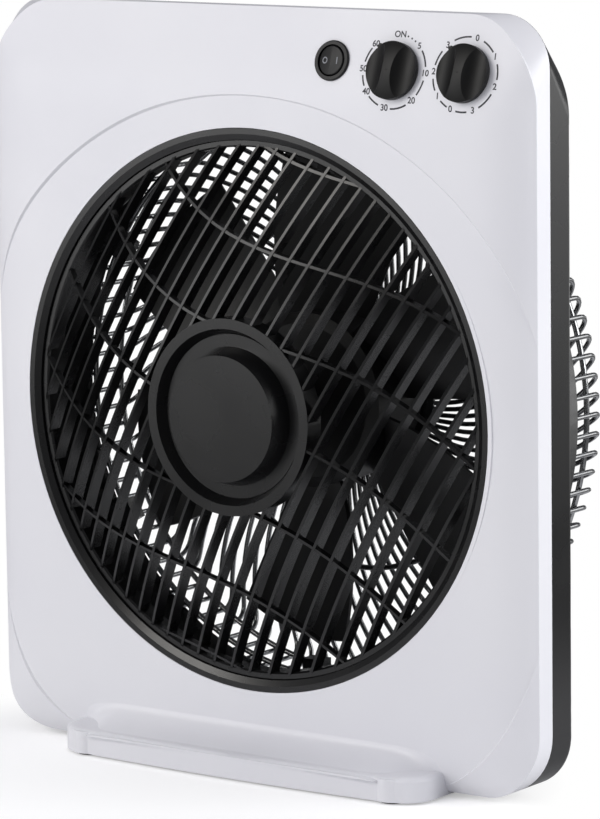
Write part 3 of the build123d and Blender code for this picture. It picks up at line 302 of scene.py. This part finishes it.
@dataclass(frozen=True)
class StackedSheet(Finish):
    """A stack of stamped sheets, or of wire turns: fine dark lines across the fan's axis."""

    pitch_mm: float = 1.0
    gap: str = "2B2A2A"
    gap_depth_mm: float = 0.05

    def dress(self, tree: bpy.types.NodeTree, where: bpy.types.NodeSocket, shader: bpy.types.Node) -> None:
        """Adds the lines between the sheets.

        Args:
            tree: The material's node tree.
            where: Object coordinates.
            shader: The material's Principled shader.
        """
        # Sheets are 0.5 mm thick; every second line is drawn, so that the stack reads as one.
        bands = add(tree, "TexWave", {"bands_direction": "Y", "wave_profile": "SIN"}, {
            "Vector": where, "Distortion": 0.3,
            "Scale": math.tau / (WAVE_UNITS * self.pitch_mm * MM)})
        self.tint(tree, shader, ramp(tree, bands.outputs["Fac"], 0.0, 0.35, 0.85, 0.0), self.gap)
        self.relief(tree, shader, bands.outputs["Fac"], self.gap_depth_mm)


@dataclass(frozen=True)
class PrintedInk(Finish):
    """Pad-printed ink: matt, slightly thin in places so that the shell shows through."""

    thin: str = "55555C"
    speck_mm: float = 0.5

    def dress(self, tree: bpy.types.NodeTree, where: bpy.types.NodeSocket, shader: bpy.types.Node) -> None:
        """Adds the thin places.

        Args:
            tree: The material's node tree.
            where: Object coordinates.
            shader: The material's Principled shader.
        """
        specks = add(tree, "TexNoise", None, {
            "Vector": where, "Scale": 1 / (self.speck_mm * MM), "Detail": 2.0})
        self.tint(tree, shader, ramp(tree, specks.outputs["Fac"], 0.45, 0.75, 0.0, 1.0), self.thin)


class Slot(Enum):
    """The model's material slots, each with the finish that dresses it."""

    # The shell's white, a little cool, with a soft sheen and a hardly seen drift of its tone.
    white_abs = MouldedPlastic("white_moulded_ABS", "E5E5E9", 0.36, ior=1.52, shade="E1E1E6")
    # A polished mould gives the rear shell, the bezel and the louvre clear, slightly wavy reflections.
    black_abs = MouldedPlastic("black_gloss_ABS", "101011", 0.27, ior=1.54, grain_mm=2.4,
                               depth_mm=0.006, uneven=0.03)
    # A duller mould keeps the blades quiet behind the louvre's slats.
    black_inner = MouldedPlastic("black_polypropylene", "101011", 0.38, ior=1.49, grain_mm=1.4,
                                 depth_mm=0.01)
    # Undyed nylon is a dull ivory.
    nylon = MouldedPlastic("natural_nylon", "DDD9CC", 0.42, ior=1.53, grain_mm=1.2, depth_mm=0.01)
    # Rubber takes no highlight and greys in its pores.
    rubber = Rubber("moulded_rubber", "1B1B1C", 0.72, ior=1.52)
    # The guard's wires mirror the room in thin bright lines.
    guard_chrome = PlatedSteel("bright_plated_wire", "A3A4A5", 0.24, metallic=1.0)
    # The shafts and the louvre motor's can are bright and hardly clouded.
    steel = PlatedSteel("ground_steel", "A5A6A8", 0.32, metallic=1.0, cloud="87888A",
                        depth_mm=0.004)
    # Zinc on screws is paler, with small spots from the bath.
    zinc_steel = PlatedSteel("zinc_plated_steel", "B4B5B0", 0.36, metallic=1.0, cloud="8C8F90",
                             cloud_mm=2.5)
    # Stamped sheets show as fine dark lines round the motor.
    motor_iron = StackedSheet("laminated_motor_iron", "6F7073", 0.48, metallic=1.0)
    # Thick paint on a casting looks dull and pebbled, with painted shade in its hollows.
    painted_casting = CastMetal("black_painted_casting", "161617", 0.5, ior=1.5, hollow="0C0C0D")
    # Pressed bronze is brown-gold, its pores darkened with painted shade.
    bronze = CastMetal("sintered_bronze", "A07E4A", 0.44, metallic=1.0, hollow="5F4626",
                       grain_mm=0.6)
    # Enamel makes the copper redder and glossier; the turns show as lines.
    copper = StackedSheet("enamelled_copper_wire", "9A4A22", 0.3, metallic=1.0, gap="3A1A0C",
                          pitch_mm=0.9)
    # The capacitor's case is a milky off-white.
    capacitor_case = MouldedPlastic("polycarbonate_case", "D2D1CB", 0.4, ior=1.58, grain_mm=1.1,
                                    depth_mm=0.01)


# The knobs come from a matt mould, so they give a soft sheen that fades across their scoops.
KNOB_NODES = ("timer_knob", "speed_knob")
KNOB_FINISH = MouldedPlastic("black_satin_ABS", "0A0A0B", 0.5, ior=1.43, grain_mm=1.2,
                             depth_mm=0.012)
# The switch is nylon, a shade paler and glossier than the knobs.
SWITCH_NODES = ("switch_body", "switch_rocker")
SWITCH_FINISH = MouldedPlastic("black_glazed_nylon", "111113", 0.46, ior=1.5, grain_mm=1.0,
                               depth_mm=0.01)
# The dials' ink is a soft black that lets a little of the white shell through.
DIAL_INK = PrintedInk("pad_printed_ink", "2A2A30", 0.55, ior=1.48)
# The rocker's marks are pale grey, easy to tell from the black but never white.
MARK_INK = PrintedInk("pad_printed_marks", "8A8C92", 0.5, ior=1.48, thin="6A6C70")


# ---------------------------------------------------------------- mesh helpers
def finished(name: str, mesh: bmesh.types.BMesh, material: bpy.types.Material, body: str,
             crease_deg: float = 35.0) -> bpy.types.Object:
    """Turns a bmesh to a finished piece that rides on a body.

    Args:
        name: The piece's name.
        mesh: The shape, in metres in the model's frame.
        material: Its finish.
        body: The CAD body that it moves with.
        crease_deg: Edges sharper than this stay sharp.

    Returns:
        The new object.
    """
    data = bpy.data.meshes.new(name)
    mesh.to_mesh(data)
    mesh.free()
    data.materials.append(material)
    data.shade_smooth()
    data.set_sharp_from_angle(angle=math.radians(crease_deg))
    made = bpy.data.objects.new(name, data)
    bpy.context.scene.collection.objects.link(made)
    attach(made, body)
    log.info("%s: %d faces on %s", name, len(data.polygons), body)
    return made


def surface_of(data: bpy.types.Mesh) -> BVHTree:
    """Makes a mesh into a surface that can be hit by a ray.

    Args:
        data: The mesh.

    Returns:
        Its surface.
    """
    shape = bmesh.new()
    shape.from_mesh(data)
    surface = BVHTree.FromBMesh(shape)
    shape.free()
    return surface


def lay_on(flat: bmesh.types.BMesh, surface: BVHTree, outward: Vector, lift: float, thickness: float) -> None:
    """Lays a flat mesh on a surface as a thin layer.

    Args:
        flat: The flat mesh, which gets its thickness here.
        surface: What it lies on.
        outward: Unit vector away from the surface.
        lift: The gap under the layer.
        thickness: The layer's thickness.
    """
    for piece in flat.faces:
        if piece.normal.dot(outward) < 0:
            piece.normal_flip()
    for vert in flat.verts:
        hit = surface.ray_cast(vert.co + outward * PRINT_REACH, -outward)[0]
        if hit is not None:
            vert.co = hit + outward * lift
    grown = bmesh.ops.extrude_face_region(flat, geom=flat.faces[:], use_keep_orig=True)
    top = [item for item in grown["geom"] if isinstance(item, bmesh.types.BMVert)]
    bmesh.ops.translate(flat, verts=top, vec=outward * thickness)
    bmesh.ops.recalc_face_normals(flat, faces=flat.faces[:])


def face_frame(across: Vector, up: Vector) -> tuple[Vector, Matrix]:
    """The directions of a face of the control area.

    Args:
        across: Unit vector to the right on the face.
        up: Unit vector up the face.

    Returns:
        Unit vector out of the face, and the turn from the XY plane to the face.
    """
    outward = across.cross(up)
    return outward, Matrix((across, up, outward)).transposed().to_4x4()


def joint_place(name: str) -> tuple[Vector, Vector]:
    """Where a joint is.

    Args:
        name: The joint's name in the record.

    Returns:
        Its point and its axis at rest.
    """
    joint = next(j for j in frame["joints"] if j["name"] == name)
    return Vector(joint["pos_m"]), Vector(joint["axis"]).normalized()


# ---------------------------------------------------------------- sub-assemblies
@dataclass
class Castings:
    """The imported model's own pieces, dressed with the finish of their slots."""

    paints: dict = field(default_factory=dict)

    def paint(self, slot: str) -> bpy.types.Material:
        """Gives a slot's material, made once.

        Args:
            slot: The slot's name in the record.

        Returns:
            The material.
        """
        if slot not in self.paints:
            self.paints[slot] = Slot[slot].value.build()
        return self.paints[slot]

    def dress(self) -> None:
        """Puts each node's finish on the node's object."""
        own = dict.fromkeys(KNOB_NODES, KNOB_FINISH.build())
        own.update(dict.fromkeys(SWITCH_NODES, SWITCH_FINISH.build()))
        for part in frame["record"]["subparts"]:
            node = frame["nodes"][part["node"]]
            node.data.materials.clear()
            node.data.materials.append(own.get(part["node"]) or self.paint(part["material_slot"]))
            log.info("%s: %s", part["node"], part["material_slot"])


@dataclass
class WireGuard:
    """The cage of thin steel wires behind the fan, each bent in and swirled to the middle."""

    count: int = 96
    sides: int = 10
    wire_radius: float = 1.4 * MM
    side_radius: float = 166.9 * MM
    bend_start: float = 28.3 * MM      # the straight run along the side
    bend_reach: float = 9.0 * MM
    bend_rise: float = 9.7 * MM
    rim_lean_deg: float = 36.5
    inner_radius: float = 46.0 * MM
    swirl_deg: float = 30.0
    bend_steps: int = 5
    spoke_steps: int = 14

    def sweep(self, mesh: bmesh.types.BMesh, edges: list, centre: Vector, heading: Vector, target: Vector,
              steps: int) -> tuple[list, Vector]:
        """Bends the open end of the wire in one arc to a target.

        Args:
            mesh: The wire so far.
            edges: The edges of its open end.
            centre: The middle of the open end.
            heading: The direction the wire leaves in.
            target: Where the arc ends.
            steps: How many pieces the arc has.

        Returns:
            The edges of the new open end, and the direction it points in.
        """
        run = target - centre
        ahead = run.dot(heading)
        aside = run - heading * ahead
        inward = aside.normalized()
        middle = centre + inward * ((ahead ** 2 + aside.length ** 2) / (2 * aside.length))
        angle = 2 * math.atan2(aside.length, ahead)
        grown = bmesh.ops.spin(mesh, geom=edges, cent=middle, axis=heading.cross(inward), dvec=(0, 0, 0),
                               angle=angle, steps=steps, use_merge=False)
        ends = [item for item in grown["geom_last"] if isinstance(item, bmesh.types.BMEdge)]
        return ends, heading * math.cos(angle) + inward * math.sin(angle)

    def build(self, paint: bpy.types.Material) -> bpy.types.Object:
        """Makes one wire and repeats it round the fan's axis.

        Args:
            paint: The wire's finish.

        Returns:
            The guard's wires as one object, in place of the CAD node.
        """
        low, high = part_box("guard_wires")
        axis_point, _ = joint_place("louvre_spin")
        front = low.y
        back = high.y - self.wire_radius
        mesh = bmesh.new()
        start = Vector((self.side_radius, front, axis_point.z))
        turn = Matrix.Translation(start) @ Matrix.Rotation(math.radians(-90), 4, "X")
        bmesh.ops.create_circle(mesh, segments=self.sides, radius=self.wire_radius, matrix=turn,
                                cap_ends=True)
        grown = bmesh.ops.extrude_edge_only(mesh, edges=mesh.edges[:])
        tip = [item for item in grown["geom"] if isinstance(item, bmesh.types.BMVert)]
        bmesh.ops.translate(mesh, verts=tip, vec=(0, self.bend_start, 0))
        edges = [item for item in grown["geom"] if isinstance(item, bmesh.types.BMEdge)
                 and all(vert in tip for vert in item.verts)]
        side_end = start + Vector((0, self.bend_start, 0))
        lean = math.radians(self.rim_lean_deg)
        corner = side_end + Vector((-self.bend_reach * math.cos(lean), self.bend_rise,
                                    -self.bend_reach * math.sin(lean)))
        swirl = math.radians(-self.swirl_deg)
        inner = Vector((self.inner_radius * math.cos(swirl), back,
                        axis_point.z + self.inner_radius * math.sin(swirl)))
        edges, heading = self.sweep(mesh, edges, side_end, Vector((0, 1, 0)), corner, self.bend_steps)
        edges, heading = self.sweep(mesh, edges, corner, heading, inner, self.spoke_steps)
        bmesh.ops.contextual_create(mesh, geom=edges)
        bmesh.ops.remove_doubles(mesh, verts=mesh.verts[:], dist=WELD)
        bmesh.ops.recalc_face_normals(mesh, faces=mesh.faces[:])
        bmesh.ops.spin(mesh, geom=mesh.verts[:] + mesh.edges[:] + mesh.faces[:], cent=axis_point,
                       axis=(0, 1, 0), dvec=(0, 0, 0), angle=math.tau * (self.count - 1) / self.count,
                       steps=self.count - 1, use_duplicate=True)
        made = finished("guard_cage", mesh, paint, "shell", crease_deg=50.0)
        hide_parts("guard_wires")
        return made


@dataclass
class Dial:
    """One printed ring round a knob: numbers with arc dashes between them."""

    name: str
    joint: str
    numbers: dict                      # clockwise angle from the top, in degrees: what stands there
    dashes: list                       # start and end of each arc dash, in the same degrees
    dots: tuple = ()
    radius: float = 20.3 * MM
    line: float = 0.95 * MM
    letter: float = 3.5 * MM
    bold: float = 0.1 * MM             # the letters are this much heavier than the plain type
    dot_radius: float = 0.55 * MM
    dash_step_deg: float = 4.0
    lift: float = 0.03 * MM
    ink: float = 0.03 * MM
    shift: float = -0.3 * MM

    def spot(self, centre: Vector, up: Vector, angle: float) -> Vector:
        """A place on the ring.

        Args:
            centre: The ring's middle.
            up: Unit vector up the face.
            angle: Clockwise angle from the top in degrees.

        Returns:
            The place in the model's frame.
        """
        turn = math.radians(angle)
        return centre + RIGHT * (self.radius * math.sin(turn)) + up * (self.radius * math.cos(turn))

    def letters(self, text: str) -> bmesh.types.BMesh:
        """Makes a number as a flat mesh in the XY plane, centred.

        Args:
            text: What it says.

        Returns:
            The mesh of the letters.
        """
        curve = bpy.data.curves.new(self.name + "_type", "FONT")
        curve.body = text
        curve.size = self.letter / CAPITAL_SHARE
        curve.align_x = "CENTER"
        curve.align_y = "CENTER"
        curve.offset = self.bold
        holder = bpy.data.objects.new(self.name + "_type", curve)
        bpy.context.scene.collection.objects.link(holder)
        bpy.context.view_layer.update()
        flat = bpy.data.meshes.new_from_object(holder)
        mesh = bmesh.new()
        mesh.from_mesh(flat)
        bpy.data.objects.remove(holder)
        bpy.data.meshes.remove(flat)
        bmesh.ops.remove_doubles(mesh, verts=mesh.verts[:], dist=WELD)
        return mesh

    def build(self, paint: bpy.types.Material, surface: BVHTree) -> bpy.types.Object:
        """Prints the dial on the shell's face.

        Args:
            paint: The ink.
            surface: The shell's mesh, which the print follows.

        Returns:
            The dial as one thin piece.
        """
        centre, inward = joint_place(self.joint)
        up = RIGHT.cross(inward)
        outward, face = face_frame(RIGHT, up)
        centre = centre + RIGHT * self.shift
        flat = bmesh.new()
        for angle, text in self.numbers.items():
            glyphs = self.letters(text)
            glyphs.transform(Matrix.Translation(self.spot(centre, up, angle)) @ face)
            scratch = bpy.data.meshes.new("scratch")
            glyphs.to_mesh(scratch)
            glyphs.free()
            flat.from_mesh(scratch)
            bpy.data.meshes.remove(scratch)
        for start, end in self.dashes:
            inner = centre + up * (self.radius - self.line / 2)
            outer = centre + up * (self.radius + self.line / 2)
            ends = [bmesh.ops.create_vert(flat, co=place)["vert"][0] for place in (inner, outer)]
            edge = flat.edges.new(ends)
            turn = Matrix.Rotation(math.radians(-start), 3, outward)
            bmesh.ops.rotate(flat, verts=ends, cent=centre, matrix=turn)
            bmesh.ops.spin(flat, geom=ends + [edge], cent=centre, axis=outward, dvec=(0, 0, 0),
                           angle=math.radians(start - end),
                           steps=max(3, round((end - start) / self.dash_step_deg)))
        for angle in self.dots:
            bmesh.ops.create_circle(flat, segments=10, radius=self.dot_radius, cap_ends=True,
                                    matrix=Matrix.Translation(self.spot(centre, up, angle)) @ face)
        bmesh.ops.triangulate(flat, faces=flat.faces[:])
        bmesh.ops.remove_doubles(flat, verts=flat.verts[:], dist=WELD)
        lay_on(flat, surface, outward, self.lift, self.ink)
        return finished(self.name, flat, paint, "shell")


@dataclass
class Rocker:
    """The round switch's rocker: part of a ball with two flats that meet in a low ridge."""

    ball_radius: float = 8.6 * MM
    face_height: float = 3.4 * MM      # from the pivot to either flat
    floor_depth: float = 5.0 * MM      # from the pivot to the flat underside
    swing_deg: float = 10.0            # between the two flats
    crease_deg: float = 8.0            # edges sharper than this are rounded
    edge: float = 0.35 * MM            # how far the edges are rounded
    pin_radius: float = 1.0 * MM
    pin_reach: float = 9.35 * MM

    def cut(self, mesh: bmesh.types.BMesh, place: Vector, normal: Vector) -> None:
        """Cuts the mesh flat and closes the cut.

        Args:
            mesh: The closed mesh to cut.
            place: A point of the plane.
            normal: The plane's direction; what lies beyond it goes.
        """
        sliced = bmesh.ops.bisect_plane(mesh, geom=mesh.verts[:] + mesh.edges[:] + mesh.faces[:],
                                        plane_co=place, plane_no=normal, clear_outer=True)
        rim = [item for item in sliced["geom_cut"] if isinstance(item, bmesh.types.BMEdge)]
        bmesh.ops.contextual_create(mesh, geom=rim)

    def build(self, paint: bpy.types.Material) -> bpy.types.Object:
        """Makes the rocker with its rounded edges and its pins.

        Args:
            paint: Its finish.

        Returns:
            The rocker, in place of the CAD node.
        """
        pivot, upward = joint_place("rocker_tilt")
        outward, face = face_frame(RIGHT, upward)
        mesh = bmesh.new()
        bmesh.ops.create_uvsphere(mesh, u_segments=72, v_segments=36, radius=self.ball_radius,
                                  matrix=Matrix.Translation(pivot) @ face)
        left = Matrix.Rotation(math.radians(-self.swing_deg), 3, upward) @ outward
        middle = Matrix.Rotation(math.radians(-self.swing_deg / 2), 3, upward) @ outward
        for normal in (outward, left):
            self.cut(mesh, pivot + normal * self.face_height, normal)
        self.cut(mesh, pivot - middle * self.floor_depth, -middle)
        creases = [edge for edge in mesh.edges
                   if edge.is_manifold and edge.calc_face_angle() > math.radians(self.crease_deg)]
        bmesh.ops.bevel(mesh, geom=creases, offset=self.edge, segments=3, profile=0.5,
                        affect="EDGES", material=-1)
        along_pins = upward.to_track_quat("Z", "X").to_matrix().to_4x4()
        bmesh.ops.create_cone(mesh, cap_ends=True, segments=24, radius1=self.pin_radius,
                              radius2=self.pin_radius, depth=2 * self.pin_reach,
                              matrix=Matrix.Translation(pivot) @ along_pins)
        bmesh.ops.recalc_face_normals(mesh, faces=mesh.faces[:])
        made = finished("rocker_button", mesh, paint, "rocker", crease_deg=30.0)
        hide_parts("switch_rocker")
        return made


@dataclass
class RockerMarks:
    """The two marks moulded in the round switch: a bar for on, a circle for off."""

    reach: float = 4.2 * MM
    size: float = 1.9 * MM
    line: float = 0.7 * MM
    lift: float = 0.02 * MM
    ink: float = 0.05 * MM

    def build(self, paint: bpy.types.Material, button: bpy.types.Object) -> bpy.types.Object:
        """Makes both marks on the rocker's face.

        Args:
            paint: The marks' finish.
            button: The rocker, which the marks follow.

        Returns:
            The marks as one piece that tilts with the rocker.
        """
        pivot, upward = joint_place("rocker_tilt")
        outward, face = face_frame(RIGHT, upward)
        mesh = bmesh.new()
        ring_place = Matrix.Translation(pivot - RIGHT * self.reach) @ face
        for radius in (self.size, self.size - self.line):
            bmesh.ops.create_circle(mesh, segments=24, radius=radius, matrix=ring_place)
        bmesh.ops.bridge_loops(mesh, edges=mesh.edges[:])
        bar = Matrix.Translation(pivot + RIGHT * self.reach) @ face @ Matrix.Diagonal(
            (self.line / 2, self.size, 1, 1))
        bmesh.ops.create_grid(mesh, x_segments=1, y_segments=6, size=1.0, matrix=bar)
        lay_on(mesh, surface_of(button.data), outward, self.lift, self.ink)
        return finished("switch_marks", mesh, paint, "rocker")


# ---------------------------------------------------------------- the room
WHITE = "FFFFFF"
LAMP_AIM = Vector((0, 0, 0.2))     # every lamp points at the fan's middle


@dataclass(frozen=True)
class Lamp:
    """A soft square lamp that points at the fan."""

    name: str
    place: tuple
    size: float
    watts: float
    colour: str = WHITE

    def hang(self) -> None:
        """Puts the lamp in the room."""
        light = bpy.data.lights.new(self.name, "AREA")
        light.size = self.size
        light.energy = self.watts
        light.color = linear(self.colour)[:3]
        holder = bpy.data.objects.new(self.name, light)
        facing = (LAMP_AIM - Vector(self.place)).to_track_quat("-Z", "Y")
        holder.matrix_world = Matrix.Translation(self.place) @ facing.to_matrix().to_4x4()
        bpy.context.scene.collection.objects.link(holder)


LAMPS = (
    Lamp("key", (-1.2, -2.6, 1.9), 1.4, 33.0, "FFFCF8"),       # from above left, a little warm
    Lamp("window", (-1.35, -1.75, 0.35), 1.3, 12.0),           # low left, mirrored in the slats
    Lamp("side", (2.2, 0.6, 0.9), 1.2, 30.0),                  # on the black side wall
    Lamp("back", (1.3, 1.8, 0.75), 1.1, 8.0),                  # on the collar and the guard
)


@dataclass
class Studio:
    """A white floor, soft lamps and the camera."""

    azimuth_deg: float = 36.72
    elevation_deg: float = 9.03
    roll_deg: float = -0.75
    distance: float = 2.52737
    focal_pixels: float = 4523.35
    aim_right: float = 22.95 * MM      # the view's middle from the opening's middle
    aim_up: float = 0.47 * MM
    floor_size: float = 14.0
    floor_drop: float = 0.2 * MM       # the floor lies this far under the feet
    floor_glow: float = 0.36           # lifts the shadow to the room's white
    # The floor turns plain white outside a disc, so that no edge shows against the room.
    disc_middle: tuple = (-0.04, -0.1, 0.0)
    disc_fade: tuple = (0.18, 0.24)
    # Mirrored in the black plastic, the floor is lit paper near the fan; further off it is a painted reflection, a
    # grey glow that grows brighter towards the back.
    mirror_fade: tuple = (0.38, 0.6)
    near_grey: tuple = (-0.2, 0.5, 0.18, 0.15)     # from and to this depth, from and to this grey
    back_grey: tuple = (0.7, 1.9, 0.0, 0.65)       # what is added to it further back
    room_seen: float = 1.0
    room_mirrored: float = 0.14
    room_light: float = 0.52

    def camera(self) -> None:
        """Puts the camera where it sees the front and the right side."""
        target, _ = joint_place("louvre_spin")
        around, above = math.radians(self.azimuth_deg), math.radians(self.elevation_deg)
        away = Vector((math.sin(around) * math.cos(above), -math.cos(around) * math.cos(above),
                       math.sin(above)))
        place = target + away * self.distance
        right, up = self.upright(-away)
        aim = target + right * self.aim_right + up * self.aim_up
        heading = (aim - place).normalized()
        right, up = self.upright(heading)
        lens = bpy.data.cameras.new("camera")
        lens.sensor_fit = "HORIZONTAL"
        lens.lens = self.focal_pixels / IMAGE_WIDTH * lens.sensor_width
        lens.clip_end = 60.0
        holder = bpy.data.objects.new("camera", lens)
        holder.matrix_world = Matrix.Translation(place) @ Matrix((right, up, -heading)).transposed().to_4x4()
        bpy.context.scene.collection.objects.link(holder)
        bpy.context.scene.camera = holder

    def upright(self, heading: Vector) -> tuple[Vector, Vector]:
        """The view's right and up for a heading, with the camera's small roll.

        Args:
            heading: Unit vector that the camera looks along.

        Returns:
            The right and the up unit vectors.
        """
        level = heading.cross(Vector((0, 0, 1))).normalized()
        top = level.cross(heading)
        roll = math.radians(self.roll_deg)
        return (level * math.cos(roll) + top * math.sin(roll), top * math.cos(roll) - level * math.sin(roll))

    def floor(self) -> None:
        """Lays a white floor that keeps the shadow and meets the white room without a line; in the black plastic
        it shows a painted reflection.
        """
        mesh = bmesh.new()
        bmesh.ops.create_grid(mesh, x_segments=1, y_segments=1, size=self.floor_size / 2,
                              matrix=Matrix.Translation((0, 0, -self.floor_drop)))
        data = bpy.data.meshes.new("floor")
        mesh.to_mesh(data)
        mesh.free()
        sheet = bpy.data.materials.new("white_paper")
        sheet.use_nodes = True
        tree = sheet.node_tree
        tree.nodes.clear()
        paper = add(tree, "BsdfDiffuse", None, {"Color": linear("E8E8E8")})
        glow = add(tree, "Emission", None, {"Color": linear(WHITE), "Strength": self.floor_glow})
        lifted = add(tree, "AddShader", None, {0: paper.outputs[0], 1: glow.outputs[0]})
        white = add(tree, "Emission", None, {"Color": linear(WHITE), "Strength": 1.0})
        place = add(tree, "TexCoord").outputs["Object"]
        away = add(tree, "VectorMath", {"operation": "LENGTH"}, {0: place})
        # Painted reflection: seen in mirror rays, the floor far from the fan glows grey, more towards the back, in
        # place of a lit room.
        depth = add(tree, "SeparateXYZ", None, {0: place}).outputs["Y"]
        shade = add(tree, "Math", {"operation": "ADD"}, {
            0: ramp(tree, depth, *self.near_grey), 1: ramp(tree, depth, *self.back_grey)})
        dark = add(tree, "Emission", None, {"Color": linear(WHITE), "Strength": shade.outputs[0]})
        far = ramp(tree, away.outputs["Value"], *self.mirror_fade, 0.0, 1.0)
        aside = add(tree, "VectorMath", {"operation": "DISTANCE"}, {0: place, 1: self.disc_middle})
        beyond = ramp(tree, aside.outputs["Value"], *self.disc_fade, 0.0, 1.0)
        both = add(tree, "MixShader", None, {0: beyond, 1: lifted.outputs[0], 2: white.outputs[0]})
        mirrored = add(tree, "MixShader", None, {0: far, 1: paper.outputs[0], 2: dark.outputs[0]})
        sight = add(tree, "LightPath")
        plain = add(tree, "MixShader", None, {
            0: sight.outputs["Is Glossy Ray"], 1: paper.outputs[0], 2: mirrored.outputs[0]})
        pick = add(tree, "MixShader", None, {
            0: sight.outputs["Is Camera Ray"], 1: plain.outputs[0], 2: both.outputs[0]})
        add(tree, "OutputMaterial", None, {"Surface": pick.outputs[0]})
        data.materials.append(sheet)
        ground = bpy.data.objects.new("floor", data)
        bpy.context.scene.collection.objects.link(ground)

    def world(self) -> None:
        """Surrounds everything with white, which lights less than it shows."""
        room = bpy.data.worlds.new("room")
        bpy.context.scene.world = room
        room.use_nodes = True
        tree = room.node_tree
        tree.nodes.clear()
        sight = add(tree, "LightPath")
        # The light is slightly cool, so that the white shell doesn't turn to cream.
        seen = add(tree, "Background", None, {"Color": linear(WHITE), "Strength": self.room_seen})
        mirrored = add(tree, "Background", None, {
            "Color": linear("F4F5FA"), "Strength": self.room_mirrored})
        lit = add(tree, "Background", None, {"Color": linear("F2F3FB"), "Strength": self.room_light})
        first = add(tree, "MixShader", None, {
            0: sight.outputs["Is Glossy Ray"], 1: lit.outputs[0], 2: mirrored.outputs[0]})
        both = add(tree, "Math", {"operation": "MAXIMUM"}, {
            0: sight.outputs["Is Camera Ray"], 1: sight.outputs["Is Transmission Ray"]})
        pick = add(tree, "MixShader", None, {
            0: both.outputs[0], 1: first.outputs[0], 2: seen.outputs[0]})
        add(tree, "OutputWorld", None, {"Surface": pick.outputs[0]})

    def build(self) -> None:
        """Sets up the camera, the floor, the room and the lamps."""
        self.camera()
        self.floor()
        self.world()
        for lamp in LAMPS:
            lamp.hang()
        bpy.context.scene.view_settings.view_transform = "Standard"


DIALS = (
    Dial("timer_dial", "timer_turn",
         numbers={3: "ON", 45: "5", 91: "10", 139: "20", 192: "30", 235: "40", 272: "50", 316: "60"},
         dashes=[(54, 81), (102, 127), (151, 181), (204, 226), (245, 262), (283, 307)],
         dots=(18, 26, 34)),
    Dial("speed_dial", "speed_turn",
         numbers={14: "0", 60: "1", 107: "2", 160: "3", 201: "0", 232: "1", 272: "2", 319: "3"},
         dashes=[(332, 363), (27, 52), (72, 96), (119, 149), (171, 191), (208, 223), (242, 261),
                 (282, 306)]),
)


def main() -> None:
    """Builds the fan's looks piece by piece."""
    logging.basicConfig(level=logging.INFO, format="%(message)s")
    Studio().build()
    castings = Castings()
    castings.dress()
    WireGuard().build(castings.paint("guard_chrome"))
    ink = DIAL_INK.build()
    marks = MARK_INK.build()
    surface = surface_of(frame["nodes"]["front_housing"].data)
    for dial in DIALS:
        dial.build(ink, surface)
    button = Rocker().build(frame["nodes"]["switch_rocker"].data.materials[0])
    RockerMarks().build(marks, button)


if __name__ == "__main__":
    main()
